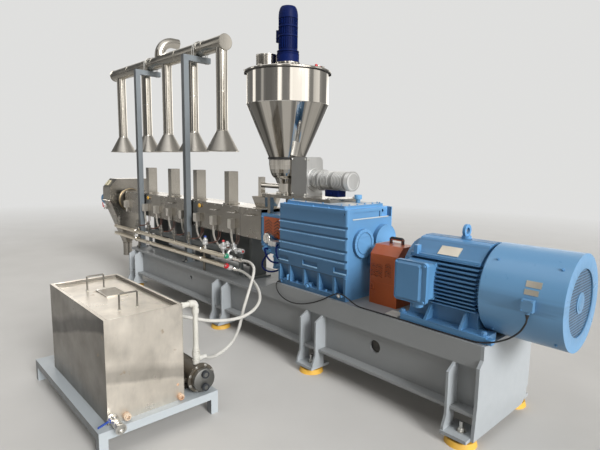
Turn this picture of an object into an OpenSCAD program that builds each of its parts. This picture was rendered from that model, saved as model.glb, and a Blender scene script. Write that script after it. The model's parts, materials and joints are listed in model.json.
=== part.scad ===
/* [Base] */
// Length of the machine base from the die end to the motor end
base_len = 4800; // [4600:10:5200]
// Width across the upper edges of the base
base_w = 640; // [600:10:700]
// Height of the low deck that carries the barrel
deck_z = 480; // [460:5:500]
// Height of the underside of the base
base_z = 182; // [170:2:200]
// Thickness of the base plates
plate_t = 20; // [12:1:25]
// Distance of each web inside the edge of the deck
web_inset = 40; // [30:5:60]
// How far the lower flange stands out from the web
flange_out = 80; // [60:5:100]
// Where the raised part of the base starts
raise_x = 2690; // [2640:10:2740]
// Length of the slope at the start of the raised part
raise_slope = 260; // [180:10:270]
// Height of the raised part above the low deck
raise_h = 125; // [100:5:150]
// Positions along the base of the inner leg plates
leg_xs = [102, 2073, 3360];
// Distance between the two plates of a leg
leg_gap = 150; // [130:5:170]
// Thickness of a leg plate
leg_t = 16; // [10:1:20]

/* [Levelling feet] */
// Diameter of a levelling pad
pad_d = 190; // [150:5:200]
// Height of a levelling pad
pad_h = 48; // [40:1:55]
// Distance of the pads from the centre line
pad_y = 345; // [335:5:350]
// Diameter of a levelling bolt
bolt_d = 24; // [16:2:30]

/* [Gearbox] */
// Where the gearbox starts
gear_x = 2961; // [2955:1:2990]
// Length of the gearbox
gear_len = 761; // [740:5:770]
// Width of the gearbox
gear_w = 578; // [540:2:600]
// Height of the gearbox
gear_h = 677; // [640:5:700]
// Height of the ribbed foot of the gearbox
gear_foot_h = 172; // [150:2:190]
// Height of the lower case, below the shaft line of the upper case
gear_split_h = 415; // [400:5:440]
// How far the lower case reaches behind the centre line
gear_back = 110; // [90:5:140]
// How far the upper case reaches behind the centre line
gear_back_top = 260; // [240:5:280]
// How far the wall between the foot ribs slopes in
gear_taper = 60; // [30:5:80]
// Positions of the foot ribs along the gearbox
gear_rib_xs = [0, 129, 301, 464, 629, 739];
// Heights of the grooves above the foot of the gearbox
groove_hs = [279, 352, 451, 527];
// Width of a groove
groove_w = 28; // [16:2:34]
// Depth of a groove
groove_t = 12; // [6:1:16]
// Diameter of the output bearing cap
cap_d = 216; // [180:4:230]
// Diameter of the input bearing cap
input_cap_d = 250; // [220:5:260]

/* [Main motor] */
// Height of the motor shaft above the raised deck
shaft_h = 280; // [270:2:300]
// Where the finned body of the motor starts
motor_x = 4215; // [4205:5:4230]
// Length of the finned body
motor_len = 475; // [450:5:480]
// Diameter over the cooling fins
motor_d = 530; // [500:5:540]
// Number of cooling fins on each side
fin_count = 12; // [8:1:16]
// Diameter of the fan cowl
cowl_d = 550; // [540:2:556]
// Length of the fan cowl
cowl_len = 480; // [400:10:500]
// Size of the terminal box along the motor
tbox_w = 231; // [200:1:250]
// Height of the terminal box
tbox_h = 260; // [220:4:280]
// Depth of the terminal box
tbox_d = 125; // [100:5:140]
// Thickness of the motor feet
motor_foot_t = 42; // [30:2:50]
// How far the motor feet reach from the centre line
motor_foot_y = 285; // [270:5:300]

/* [Coupling guard] */
// Length of the guard
guard_len = 238; // [200:2:240]
// Width of the guard
guard_w = 270; // [250:5:290]
// Height of the guard
guard_h = 430; // [400:5:450]
// Size of the sloping shoulder of the guard
guard_cut = 62; // [40:2:80]

/* [Barrel] */
// Height of the screw axis
barrel_z = 1037; // [1030:1:1045]
// Side of the square barrel block
barrel_w = 180; // [160:5:190]
// Where the barrel ends, past the base, at the die
barrel_x = -690; // [-720:10:-670]
// Length of one barrel section
section_len = 260; // [240:10:280]
// Width of the stainless cover
cover_w = 286; // [280:2:290]
// Height of the cover top
cover_top = 1180; // [1175:1:1190]
// Height of the lower edge of the cover
cover_low = 894; // [890:1:900]
// Where the cover starts
cover_x = -574; // [-590:2:-560]
// Gap between the cover and the lantern housing
cover_gap = 24; // [20:1:30]
// Sheet thickness of the cover
cover_t = 5; // [3:1:6]
// Positions of the vent ducts along the cover
vent_xs = [50, 665, 1265, 1895];
// Height of the vent ducts above the cover
vent_h = 335; // [320:5:350]
// Positions of the heater plugs along the cover
plug_xs = [-500, 88, 417, 749, 1066, 1391, 1727, 2059];
// Positions of the barrel supports along the base
support_xs = [190, 1230, 2270];

/* [Lantern housing] */
// Width of the housing between barrel and gearbox
lantern_w = 310; // [290:5:330]
// Height of the top of the lantern housing
lantern_top = 1151; // [1145:1:1160]
// Height of the underside of the lantern housing
lantern_low = 850; // [840:2:870]
// Where the lantern housing starts
lantern_x = 2556; // [2550:1:2570]

/* [Fume exhaust] */
// Diameter of the header pipe
header_d = 154; // [140:2:160]
// How far the header runs on past the first drop pipe
header_head = 199; // [150:1:220]
// How far the header runs on past the last drop pipe
header_tail = 74; // [70:1:100]
// Positions of the drop pipes along the machine
drop_xs = [-911, -100, 477, 1090, 1682];
// Diameter of a drop pipe
drop_d = 120; // [100:2:130]
// Height of the hood rim
hood_z = 1720; // [1700:5:1740]
// Diameter of the hood rim
hood_d = 350; // [320:5:360]
// Height of the hood cone
hood_h = 215; // [190:5:230]
// Wall of the pipes and hoods
duct_t = 5; // [3:1:6]
// Side of the square posts
post_w = 60; // [50:2:70]
// Positions of the posts along the base
post_xs = [40, 1250];
// Height of the post tops
post_top = 2744; // [2700:4:2780]

/* [Cutter hood] */
// Position of the face that meets the die
hood_face_x = -740; // [-745:5:-735]
// Depth of the cutter hood along the machine
cutter_depth = 260; // [240:5:280]
// Width of the cutter hood
cutter_w = 580; // [540:5:600]
// Height of the cutter hood top
cutter_top = 1340; // [1320:5:1360]
// Height where the funnel starts
funnel_top = 1035; // [1030:5:1045]
// Height where the outlet spout starts
funnel_low = 385; // [360:5:400]
// Diameter of the outlet spout
spout_d = 125; // [110:5:140]
// Lower end of the outlet spout
spout_z = 200; // [180:5:220]
// Where the cutter motor ends
cutter_end_x = -1190; // [-1300:10:-1180]

/* [Feeder] */
// Position of the hopper axis along the machine
hopper_x = 2725; // [2715:5:2735]
// Diameter of the hopper
hopper_d = 724; // [700:4:740]
// Diameter of the hopper outlet
hopper_out_d = 326; // [310:2:330]
// Height where the hopper cone starts
cone_z = 1655; // [1650:1:1660]
// Height where the straight hopper wall starts
drum_z = 2115; // [2090:5:2140]
// Height of the hopper rim
rim_z = 2385; // [2360:5:2400]
// Radius of the hopper lid
lid_r = 380; // [374:2:390]
// Diameter of the filling stub on the lid
stub_d = 190; // [160:2:210]
// Height of the filling stub
stub_h = 160; // [140:1:200]
// Height of the underside of the feeder's plate
stand_z = 1306; // [1306:1:1320]
// Thickness of the feeder's plate
stand_t = 27; // [20:1:34]
// Where the feeder's plate ends towards the motor
stand_end_x = 3433; // [3380:1:3460]
// Diameter of the agitator motor
agit_d = 156; // [140:2:160]

/* [Water manifold] */
// Diameter of the manifold pipes
pipe_d = 46; // [38:1:48]
// Distance of the pipes from the centre line
pipe_y = 300; // [295:1:301]
// Heights of the two pipes
pipe_zs = [702, 605];
// Where the pipes start
pipe_x = -547; // [-560:5:-530]
// Length of the pipes
pipe_len = 2756; // [2740:4:2760]

/* [Water tank] */
// Length of the tank frame
skid_len = 1282; // [1260:2:1300]
// Width of the tank frame
skid_w = 755; // [740:5:770]
// Height of the tank frame
skid_h = 150; // [140:2:160]
// Length of the tank
tank_len = 1000; // [940:10:1010]
// Width of the tank
tank_w = 472; // [460:4:480]
// Height of the tank
tank_h = 607; // [580:4:620]
// Wall of the tank
tank_t = 6; // [4:1:8]
// Diameter of the heat exchanger flange
hx_d = 186; // [170:2:190]

/* [Hidden] */
$fn = 48;

// Places worked out from the sizes above
skid_y = -1990;
skid_x = 2200;
header_x = drop_xs[0] - header_head;
header_len = drop_xs[4] + header_tail - header_x;
motor_tail_x = motor_x + motor_len + cowl_len;
mid_x = (motor_tail_x + cutter_end_x) / 2;
mid_y = (pad_y + pad_d / 2 + skid_y) / 2;
deck2_z = deck_z + raise_h;
shaft_z = deck2_z + shaft_h;
web_y = base_w / 2 - web_inset;
gear_end_x = gear_x + gear_len;
gear_top = deck2_z + gear_h;
cover_len = lantern_x - cover_gap - cover_x;
motor_neck = 155;
gear_low_z = deck2_z + gear_foot_h;
gear_split_z = deck2_z + gear_split_h;
gear_cover_t = 24;
stand_top = stand_z + stand_t;
tbox_x = motor_x - 3;
tbox_z = shaft_z - tbox_h / 2 + 15;
tbox_front_y = -motor_d / 2 - tbox_d;
guard_x = motor_x - motor_neck - guard_len;
tank_x = skid_x + 230;
tank_y = skid_y + 70;
lid_z = skid_h + tank_h - 24;

// Hoses and the fan cable, as points along their routes
hose_d = 25;
cable_d = 10;
supply_route = [
    [2329, -300, 702], [2400, -300, 702], [2480, -302, 710], [2560, -308, 714],
    [2630, -322, 706], [2690, -345, 680], [2732, -385, 628], [2768, -440, 560],
    [2815, -510, 485], [2875, -590, 412], [2945, -665, 360], [3025, -745, 325],
    [3105, -835, 300], [3170, -925, 284], [3215, -1015, 274], [3250, -1100, 274],
    [3292, -1165, 292], [3332, -1220, 320], [3360, -1255, 342], [3370, -1282, 352],
    [3370, -1304, 352]
];
return_route = [
    [2329, -300, 605], [2400, -300, 605], [2490, -306, 601], [2610, -328, 584],
    [2760, -378, 556], [2890, -440, 528], [2975, -500, 498], [3025, -565, 468],
    [3055, -645, 442], [3072, -740, 428], [3082, -850, 432], [3090, -960, 450],
    [3097, -1070, 478], [3107, -1180, 520], [3120, -1280, 562], [3131, -1350, 589],
    [3135, -1400, 600], [3135, -1427.6, 600]
];
cable_route = [
    [5001, -287, 842], [5001, -287, 818], [4995, -289, 785], [4967, -293, 733],
    [4912, -297, 682], [4835, -299, 640], [4760, -299, 617], [4690, -299, 611],
    [4570, -302, 611], [4440, -304, 611], [4300, -301, 611], [4150, -302, 611],
    [4000, -304, 611], [3880, -306, 611], [3820, -305, 622], [3760, -302, 644],
    [3720, -300, 657], [3688, -300, 661], [3640, -303, 654], [3585, -318, 624],
    [3510, -334, 580], [3400, -338, 533], [3280, -339, 499], [3165, -338, 489],
    [3065, -336, 508], [3000, -333, 550], [2983, -330, 592], [2988, -324, 618],
    [3004, -305, 625]
];

// Moves the machine so that the middle of its floor area is the origin
module centred() translate([-mid_x, -mid_y, 0]) children();

// Repeats a shape on the other side of the centre line
module both_sides() {
    children();
    mirror([0, 1, 0]) children();
}

// Draws a profile given as Y and Z and runs it along X
module along_x(len) rotate([90, 0, 90]) linear_extrude(len) children();

// Draws a profile given as X and Z and runs it along Y
module along_y(len) translate([0, len, 0]) rotate([90, 0, 0]) linear_extrude(len) children();

// Round bar or disc along X
module bar_x(d, len) rotate([0, 90, 0]) cylinder(d = d, h = len);

// Round bar or disc along Y
module bar_y(d, len) rotate([-90, 0, 0]) cylinder(d = d, h = len);

function unit(v) = v / norm(v);
function heading(p, i) = unit(p[min(i + 1, len(p) - 1)] - p[max(i - 1, 0)]);
function ring(p, i, d, side, sides) = let (
    t = heading(p, i),
    u = unit(cross(t, side)),
    v = cross(t, u)
) [for (k = [0 : sides - 1]) p[i] + d / 2 * (cos(360 * k / sides) * u + sin(360 * k / sides) * v)];

// Round tube along a route, with one ring of points at each of the route's points
module tube(p, d, side, sides) {
    rings = len(p);
    last = (rings - 1) * sides;
    polyhedron(
        points = [for (i = [0 : rings - 1]) each ring(p, i, d, side, sides)],
        faces = concat(
            [[for (k = [sides - 1 : -1 : 0]) k]],
            [for (i = [0 : rings - 2], k = [0 : sides - 1]) let (n = (k + 1) % sides) [
                i * sides + k, i * sides + n, (i + 1) * sides + n, (i + 1) * sides + k
            ]],
            [[for (k = [0 : sides - 1]) last + k]]
        )
    );
}

module base_frame() centred() color("#6c7073") {
    rib_xs = [for (x = leg_xs) x + leg_gap / 2];
    hole_z = 350;
    small_hole_x = 1466;
    large_hole_x = 4001;
    len = base_len - plate_t;
    difference() {
        union() {
            both_sides() translate([0, -web_y, base_z]) cube([len, plate_t, deck_z - base_z]);
            both_sides() translate([0, -web_y - flange_out, base_z])
                cube([len, flange_out, plate_t]);
            translate([0, -base_w / 2, deck_z - plate_t]) cube([len, base_w, plate_t]);
            translate([0, -base_w / 2, 0]) along_y(base_w) polygon([
                [raise_x, deck_z], [raise_x + raise_slope, deck2_z],
                [len, deck2_z], [len, deck_z]
            ]);
            for (x = concat(rib_xs, [base_len / 4, base_len * 0.62]))
                translate([x, -web_y, base_z]) cube([plate_t, 2 * web_y, deck_z - base_z]);
        }
        translate([small_hole_x, -web_y - 1, hole_z]) bar_y(46, plate_t + 2);
        translate([large_hole_x, -web_y - 1, hole_z]) bar_y(92, plate_t + 2);
    }
}

// Outline of the plate that closes the motor end
module end_plate_outline(low_z) {
    half = base_w / 2;
    wide = half + 40;
    polygon([
        [-half, deck2_z], [half, deck2_z], [half, deck_z + 43], [wide, deck_z + 5],
        [wide, base_z - 20], [wide - 18, base_z - 38], [wide - 18, low_z + 40],
        [wide - 80, low_z], [-wide - 20, low_z], [-wide, base_z + 80], [-wide, deck_z + 5],
        [-half, deck_z + 43]
    ]);
}

// Outline of one leg plate, outwards from the web
module leg_outline() {
    foot_z = pad_h + plate_t;
    polygon([
        [0, deck_z - plate_t], [-web_inset, deck_z - plate_t], [-111, deck_z - 60],
        [-111, base_z - 30], [-140, foot_z + 22], [-140, foot_z], [-20, foot_z],
        [-20, base_z], [0, base_z]
    ]);
}

// The two plates of every leg, on the foot plate that the levelling bolt goes through
module legs() {
    leg_starts = concat(leg_xs, [base_len - plate_t - leg_gap]);
    for (i = [0 : len(leg_starts) - 1]) {
        x = leg_starts[i];
        last = i == len(leg_starts) - 1;
        difference() {
            union() {
                for (dx = last ? [-leg_t] : [-leg_t, leg_gap])
                    translate([x + dx, -web_y, 0]) along_x(leg_t) leg_outline();
                translate([x - leg_t, -web_y - 150, pad_h])
                    cube([leg_gap + (last ? 1 : 2) * leg_t, 190, plate_t]);
            }
            translate([x - leg_t - 1, -web_y - flange_out, base_z])
                cube([leg_gap + 2 * leg_t + 2, flange_out, plate_t]);
            translate([x + leg_gap / 2, -pad_y, pad_h - 1])
                cylinder(d = bolt_d + 1, h = plate_t + 2);
        }
    }
}

module base_legs() centred() color("#a3aab2") {
    both_sides() legs();
    translate([base_len - plate_t, 0, 0]) along_x(plate_t) end_plate_outline(pad_h + 2);
}

module leveling_feet() centred() color("#e8a92c") both_sides() {
    for (x = concat(leg_xs, [base_len - plate_t - leg_gap]))
        translate([x + leg_gap / 2, -pad_y, 0]) {
            cylinder(d1 = pad_d, d2 = pad_d * 0.9, h = pad_h * 0.7);
            translate([0, 0, pad_h * 0.7]) cylinder(d = pad_d * 0.5, h = pad_h * 0.3);
            cylinder(d = bolt_d, h = pad_h + 80);
        }
}

// Plan of the gearbox case with rounded corners
module gearbox_plan(back, back_r) {
    r = 22;
    hull() {
        for (x = [r, gear_len - r]) translate([gear_x + x, -gear_w / 2 + r]) circle(r = r);
        translate([gear_x, back - back_r]) square(back_r);
        translate([gear_end_x - back_r, back - back_r]) circle(r = back_r);
    }
}

module gearbox_housing() centred() color("#3f7db8") {
    front = gear_w / 2;
    rib_t = 22;
    flange_t = 35;
    pocket_z = gear_low_z + 36;
    hole_inset = 34;
    lug_y = 108;
    lug_w = 121;
    lug_h = 74;
    difference() {
        union() {
            translate([0, 0, gear_split_z])
                linear_extrude(gear_top - gear_split_z) gearbox_plan(gear_back_top, 30);
            translate([0, 0, gear_low_z])
                linear_extrude(gear_split_z - gear_low_z) gearbox_plan(gear_back, 90);
        }
        for (h = groove_hs) translate([gear_x - 1, 0, 0]) along_x(gear_len + 2) polygon([
            [-front - 1, deck2_z + h], [-front + groove_t, deck2_z + h + groove_t],
            [-front + groove_t, deck2_z + h + groove_w], [-front - 1, deck2_z + h + groove_w]
        ]);
        for (span = [[-1, 122], [297, 462], [637, gear_len + 1]])
            translate([gear_x + span[0], -front - 1, pocket_z])
                cube([span[1] - span[0], groove_t + 1, 36]);
        for (x = [hole_inset, gear_len - hole_inset])
            translate([gear_x + x, -front - 1, gear_top - 32]) bar_y(16, 30);
        translate([gear_end_x - 8, -227, gear_top - 70]) cube([9, 315, 48]);
        translate([gear_end_x - 40, lug_y, gear_top - lug_h]) cube([41, lug_w, lug_h + 1]);
        translate([gear_end_x - 70, lug_y + lug_w / 2, gear_top - 30]) bar_x(24, 40);
    }
    translate([gear_x, 0, 0]) {
        along_x(gear_len) polygon([
            [-front, deck2_z], [-front, deck2_z + flange_t],
            [-front + gear_taper, deck2_z + flange_t], [-front + 4, gear_low_z],
            [gear_back - 30, gear_low_z], [gear_back - 30, deck2_z + flange_t],
            [gear_back + 60, deck2_z + flange_t], [gear_back + 60, deck2_z]
        ]);
        for (x = gear_rib_xs) translate([x, 0, 0]) along_x(rib_t) polygon([
            [-front, deck2_z], [-front, gear_low_z],
            [gear_back - 20, gear_low_z], [gear_back + 60, deck2_z]
        ]);
    }
    translate([gear_x + 358, -front + 4, deck2_z + flange_t + 4]) bar_y(50, 60);
    translate([gear_end_x - rib_t - 24, -front - 21, deck2_z + 35]) cube([24, 60, 15]);
    translate([gear_x + 43, -front - 16, deck2_z + 20]) bar_y(20, 20);
    translate([gear_end_x, -118, barrel_z - 8]) {
        difference() {
            bar_x(cap_d, 26);
            translate([20, 0, 0]) bar_x(cap_d * 0.78, 10);
        }
        bar_x(cap_d * 0.7, 26);
    }
    intersection() {
        translate([gear_end_x, input_cap_d / 2, barrel_z - 8]) bar_x(input_cap_d, 40);
        translate([gear_end_x, 0, gear_split_z]) cube([40, input_cap_d, input_cap_d]);
    }
    translate([gear_end_x, 0, shaft_z]) bar_x(110, guard_x - gear_end_x);
}

module gearbox_cover() centred() color("#8fa7b8") {
    inset_x = 39;
    inset_y = 49;
    len = gear_len - 2 * inset_x - 22;
    w = gear_w / 2 + gear_back_top - 2 * inset_y;
    translate([gear_x + inset_x, -gear_w / 2 + inset_y, gear_top])
        linear_extrude(gear_cover_t) round_square(len, w, 20);
    translate([gear_x + 560, 60, gear_top + gear_cover_t]) {
        cylinder(d = 36, h = 30);
        translate([0, 0, 30]) cylinder(d = 60, h = 34);
    }
}

// Section of the motor's body: a round core with flat facets on top
module motor_section() {
    facets = [[-215, 155], [-212, 168], [-195, 172], [-112, 238], [-95, 258], [-40, 267]];
    circle(r = motor_d / 2 - 50, $fn = 72);
    polygon(concat(facets, [for (i = [len(facets) - 1 : -1 : 0]) [-facets[i][0], facets[i][1]]]));
    for (side = [-1, 1]) for (i = [0 : fin_count - 1]) {
        z = -128 + i * 278 / (fin_count - 1);
        reach = sqrt(pow(motor_d / 2, 2) - z * z);
        translate([side > 0 ? 100 : -reach, z - 4]) square([reach - 100, 8]);
    }
}

module motor_body() centred() color("#3f7db8") {
    shield_t = 75;
    shield_r = 240;
    gusset_t = 16;
    foot_x = -12;
    foot_len = 582;
    hip_z = shaft_z - 140;
    foot_z = deck2_z + motor_foot_t;
    translate([motor_x, 0, shaft_z]) {
        difference() {
            along_x(motor_len + 8) motor_section();
            translate([motor_len, 0, 0]) difference() {
                bar_x(motor_d + 40, 10);
                translate([-1, 0, 0]) bar_x(motor_d - 60, 12);
            }
            for (y = [-80 : 32 : 80]) translate([-1, y - 4, 260]) cube([motor_len + 10, 8, 10]);
        }
        translate([-shield_t, 0, 0]) {
            bar_x(2 * shield_r - 80, shield_t);
            translate([30, 0, 0]) bar_x(2 * shield_r, shield_t - 30);
        }
        translate([-motor_neck, 0, 0]) bar_x(110, motor_neck - shield_t);
    }
    translate([motor_x, 0, 0]) {
        along_x(motor_len) polygon([
            [-200, foot_z], [-188, hip_z], [188, hip_z], [200, foot_z], [200, foot_z - 20],
            [-200, foot_z - 20]
        ]);
        both_sides() {
            translate([foot_x, -motor_foot_y, deck2_z])
                cube([foot_len, motor_foot_y - 150, motor_foot_t]);
            for (x = [160, 399]) translate([x, 0, 0]) along_x(gusset_t) polygon([
                [-motor_foot_y, foot_z], [-206, hip_z + 2], [-170, hip_z + 2], [-170, foot_z]
            ]);
        }
        translate([35, -232, shaft_z + 163]) cube([26, 45, 56]);
        translate([270, 0, shaft_z + 200]) cylinder(d = 70, h = motor_d / 2 - 195);
    }
    translate([tbox_x + 12, -motor_d / 2, tbox_z + 12])
        cube([tbox_w - 30, motor_d / 2 - 100, tbox_h - 30]);
}

module lifting_eye() centred() color("#3f7db8")
    translate([motor_x + 270, 0, shaft_z + motor_d / 2 + 5]) difference() {
        union() {
            cylinder(d = 60, h = 16);
            translate([-9, 0, 48]) bar_x(84, 18);
        }
        translate([-10, 0, 48]) bar_x(42, 20);
    }

module fan_cowl() centred() color("#4c8fcf") {
    gap = 22;
    lip = 14;
    mesh_d = 384;
    box_x = motor_tail_x - 200;
    box_z = shaft_z - 27;
    translate([motor_x + motor_len + gap, 0, shaft_z]) difference() {
        union() {
            translate([-gap + 8, 0, 0]) bar_x(cowl_d * 0.78, gap);
            rotate([0, 90, 0]) rotate_extrude() polygon([
                [0, 0], [cowl_d / 2 - 10, 0], [cowl_d / 2, 10], [cowl_d / 2, cowl_len - gap],
                [0, cowl_len - gap]
            ]);
        }
        translate([cowl_len - gap - lip, 0, 0]) bar_x(mesh_d, lip + 1);
    }
    translate([motor_tail_x - lip, 0, shaft_z]) bar_x(120, lip - 4);
    translate([box_x, -cowl_d / 2 - 32, box_z]) {
        cube([62, 60, 64]);
        translate([31, 20, -16]) cylinder(d = 22, h = 16);
    }
}

// Rounded rectangle with its lower left corner at the origin
module round_square(w, h, r) offset(r = r) translate([r, r]) square([w - 2 * r, h - 2 * r]);

module terminal_box() centred() color("#3f7db8") {
    lid_t = 30;
    bevel = 12;
    panel_x = 22;
    panel_w = 162;
    panel_h = 216;
    gland_h = 46;
    translate([tbox_x, tbox_front_y, tbox_z]) {
        translate([0, bevel, 0]) along_y(lid_t) round_square(tbox_w, tbox_h, 24);
        hull() {
            translate([panel_x - bevel, bevel - 1, 10])
                along_y(1) round_square(panel_w + 2 * bevel, panel_h + 2 * bevel, 20);
            translate([panel_x, 0, 10 + bevel]) along_y(1) round_square(panel_w, panel_h, 12);
        }
        translate([12, lid_t + bevel, 12])
            along_y(tbox_d - lid_t - bevel) round_square(tbox_w - 30, tbox_h - 30, 16);
        translate([143, 72, 12 - gland_h]) difference() {
            cylinder(d = 66, h = gland_h + 4);
            translate([0, 0, -1]) cylinder(d = 44, h = 30);
        }
    }
}

// Row of zigzag slots, cut into the front of the guard
module louvres(x, z, w, teeth) {
    rows = 6;
    pitch = 16;
    slot = 7;
    rise = 14;
    step = w / (2 * teeth);
    low = [for (i = [0 : 2 * teeth]) [i * step, (i % 2) * rise]];
    high = [for (i = [2 * teeth : -1 : 0]) [i * step, (i % 2) * rise + slot]];
    for (k = [0 : rows - 1]) translate([x, -guard_w / 2 - 1, z + k * pitch])
        along_y(6) polygon(concat(low, high));
}

module coupling_guard() centred() color("#a8501f") {
    w = guard_w / 2;
    top = deck2_z + guard_h;
    handle_x = 56;
    handle_len = 118;
    handle_h = 40;
    difference() {
        translate([guard_x, 0, 0]) along_x(guard_len) polygon([
            [-w, deck2_z], [-w, top - guard_cut], [-w + guard_cut, top],
            [w - guard_cut, top], [w, top - guard_cut], [w, deck2_z]
        ]);
        louvres(guard_x + 6, deck2_z + 200, 104, 2);
        louvres(guard_x + 134, deck2_z + 212, 52, 1);
    }
    translate([guard_x + handle_x, 10, top]) {
        for (x = [0, handle_len - 14]) translate([x, 0, 0]) cube([14, 20, handle_h]);
        translate([0, 0, handle_h - 12]) cube([handle_len, 20, 12]);
    }
}

module lantern_housing() centred() color("#33689c") {
    len = gear_x - lantern_x;
    translate([lantern_x, -lantern_w / 2, lantern_low]) difference() {
        cube([len, lantern_w, lantern_top - lantern_low]);
        translate([60, -1, 100]) cube([len - 180, lantern_w + 2, 165]);
    }
}

module lantern_guard() centred() color("#a8501f") {
    len = gear_x - lantern_x;
    both_sides() translate([lantern_x + 44, -lantern_w / 2 - 6, lantern_low + 90])
        cube([len - 150, 6, 185]);
}

module oil_pump() centred() color("#3f7db8") {
    pump_x = 2690;
    pump_y = -200;
    pump_z = 740;
    translate([pump_x, pump_y, pump_z]) {
        bar_x(120, 130);
        translate([110, -50, -60]) cube([gear_x - pump_x - 110, 90, 115]);
        translate([30, -50, 40]) cube([120, 60, 45]);
        translate([80, -45, 80]) cube([70, 50, 110]);
        translate([115, -60, 200]) bar_y(90, 34);
    }
    translate([pump_x - 70, pump_y - 30, deck_z]) {
        cube([70, 60, pump_z - deck_z - 20]);
        translate([0, 0, pump_z - deck_z - 20]) cube([90, 60, 30]);
    }
}

module barrel() centred() color("#57534c") {
    sections = floor((lantern_x - barrel_x) / section_len);
    half = barrel_w / 2;
    translate([barrel_x, -half, barrel_z - half]) cube([lantern_x - barrel_x, barrel_w, barrel_w]);
    for (i = [1 : sections - 1])
        translate([barrel_x + i * section_len - 15, -half - 20, barrel_z - half - 20])
            cube([30, barrel_w + 40, barrel_w + 40]);
    translate([hood_face_x, 0, barrel_z]) bar_x(310, barrel_x - hood_face_x);
}

module barrel_supports() centred() color("#54585c") {
    low = barrel_z - barrel_w / 2;
    for (x = support_xs) translate([x, 0, 0]) {
        translate([0, -cover_w / 2 + cover_t, low - 40]) cube([60, cover_w - 2 * cover_t, 40]);
        translate([10, -90, deck_z]) cube([40, 180, low - 40 - deck_z]);
        translate([-40, -110, deck_z]) cube([140, 220, 16]);
    }
}

module barrel_cover() centred() color("#8b8780") {
    inner = cover_w - 2 * cover_t;
    handle_xs = [1321, 2263, 2592, 2891];
    plug_hole_xs = [760, 2032];
    handle_z = cover_top - 70;
    difference() {
        translate([cover_x, -cover_w / 2, cover_low])
            cube([cover_len, cover_w, cover_top - cover_low]);
        translate([cover_x - 1, -inner / 2, cover_low - 1])
            cube([cover_len + 2, inner, cover_top - cover_low - cover_t + 1]);
    }
    for (x = handle_xs) translate([cover_x + x, -cover_w / 2 - 14, handle_z]) cube([120, 14, 10]);
    for (x = plug_hole_xs) translate([cover_x + x, -cover_w / 2 - 10, cover_top - 46]) bar_y(44, 10);
}

// One square vent duct standing on the cover
module vent(i) translate([vent_xs[i], -35, cover_top]) difference() {
    translate([-40, -58, 0]) cube([80, 116, vent_h]);
    translate([-36, -53, -1]) cube([72, 106, vent_h + 2]);
}

module vents_die_end() centred() color("#8f8a80") for (i = [0 : 2]) vent(i);

module vents_feed_end() centred() color("#8f8a80") vent(3);

module heater_plugs() centred() color("#a9a6a0") {
    size = 52;
    neck = 55;
    for (x = plug_xs) translate([x, -cover_w / 2 - size, cover_low + 61]) {
        cube([size, size, 95]);
        translate([size / 2, size / 2, -neck]) cylinder(d = 22, h = neck);
    }
}

module manifold_pipes() centred() color("#b5ada0") {
    strap_xs = [120, 1720];
    strap_w = 40;
    strap_t = 6;
    strap_top = pipe_zs[0] + 38;
    for (z = pipe_zs) translate([pipe_x, -pipe_y, z]) bar_x(pipe_d, pipe_len);
    for (x = strap_xs) translate([x, -pipe_y + pipe_d / 2, deck_z])
        cube([strap_w, strap_t, strap_top - deck_z]);
}

module water_valves() centred() color("#c9c7c2") {
    end_x = pipe_x + pipe_len;
    body_d = pipe_d + 10;
    body_len = 60;
    for (z = pipe_zs) translate([end_x, -pipe_y, z]) {
        bar_x(body_d, body_len);
        translate([body_len, 0, 0]) bar_x(26, 60);
        translate([body_len / 2, 0, body_d / 2 - 4]) cylinder(d = 14, h = 24);
        translate([body_len / 2, 0, body_d / 2 + 18]) cylinder(d = 60, h = 10);
    }
    for (x = plug_xs) translate([x + 80, -pipe_y, pipe_zs[0] + pipe_d / 2]) {
        cylinder(d = 20, h = 40);
        translate([-24, -20, 40]) cube([48, 40, 60]);
        translate([0, 0, 100]) cylinder(d = 34, h = 50);
    }
}

module cutter_hood() centred() color("#7d7a74") {
    y = cutter_w / 2;
    x0 = hood_face_x - cutter_depth;
    translate([x0, 0, 0]) along_x(cutter_depth) polygon([
        [-y, funnel_top], [-y, cutter_top - 120], [-y + 105, cutter_top],
        [y, cutter_top], [y, funnel_top]
    ]);
    hull() {
        translate([x0, -y, funnel_top - 2]) cube([cutter_depth, 2 * y, 2]);
        translate([hood_face_x - 160, 0, funnel_low]) cylinder(d = spout_d, h = 2);
    }
    translate([hood_face_x - 160, 0, spout_z]) difference() {
        cylinder(d = spout_d, h = funnel_low - spout_z);
        translate([0, 0, -1]) cylinder(d = spout_d - 2 * duct_t, h = funnel_low - spout_z + 1);
    }
}

module cutter_motor() centred() color("#2f5f9a") {
    x0 = hood_face_x - cutter_depth;
    translate([cutter_end_x, -170, barrel_z]) {
        bar_x(170, x0 - cutter_end_x - 60);
        bar_x(120, x0 - cutter_end_x);
    }
}

module catch_hopper() centred() color("#8a8478") {
    x = 2432;
    low = 140;
    high = 200;
    h = 110;
    wall = 5;
    translate([x, 0, cover_top]) difference() {
        union() {
            hull() {
                translate([-low / 2, -low / 2, 0]) cube([low, low, 1]);
                translate([-high / 2, -high / 2, h - 1]) cube([high, high, 1]);
            }
            translate([-low / 2 - 15, -low / 2 - 25, 0]) cube([low + 30, low + 50, wall + 1]);
        }
        hull() {
            translate([-low / 2 + wall, -low / 2 + wall, wall + 1])
                cube([low - 2 * wall, low - 2 * wall, 1]);
            translate([-high / 2 + wall, -high / 2 + wall, h])
                cube([high - 2 * wall, high - 2 * wall, 1]);
        }
    }
}

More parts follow.
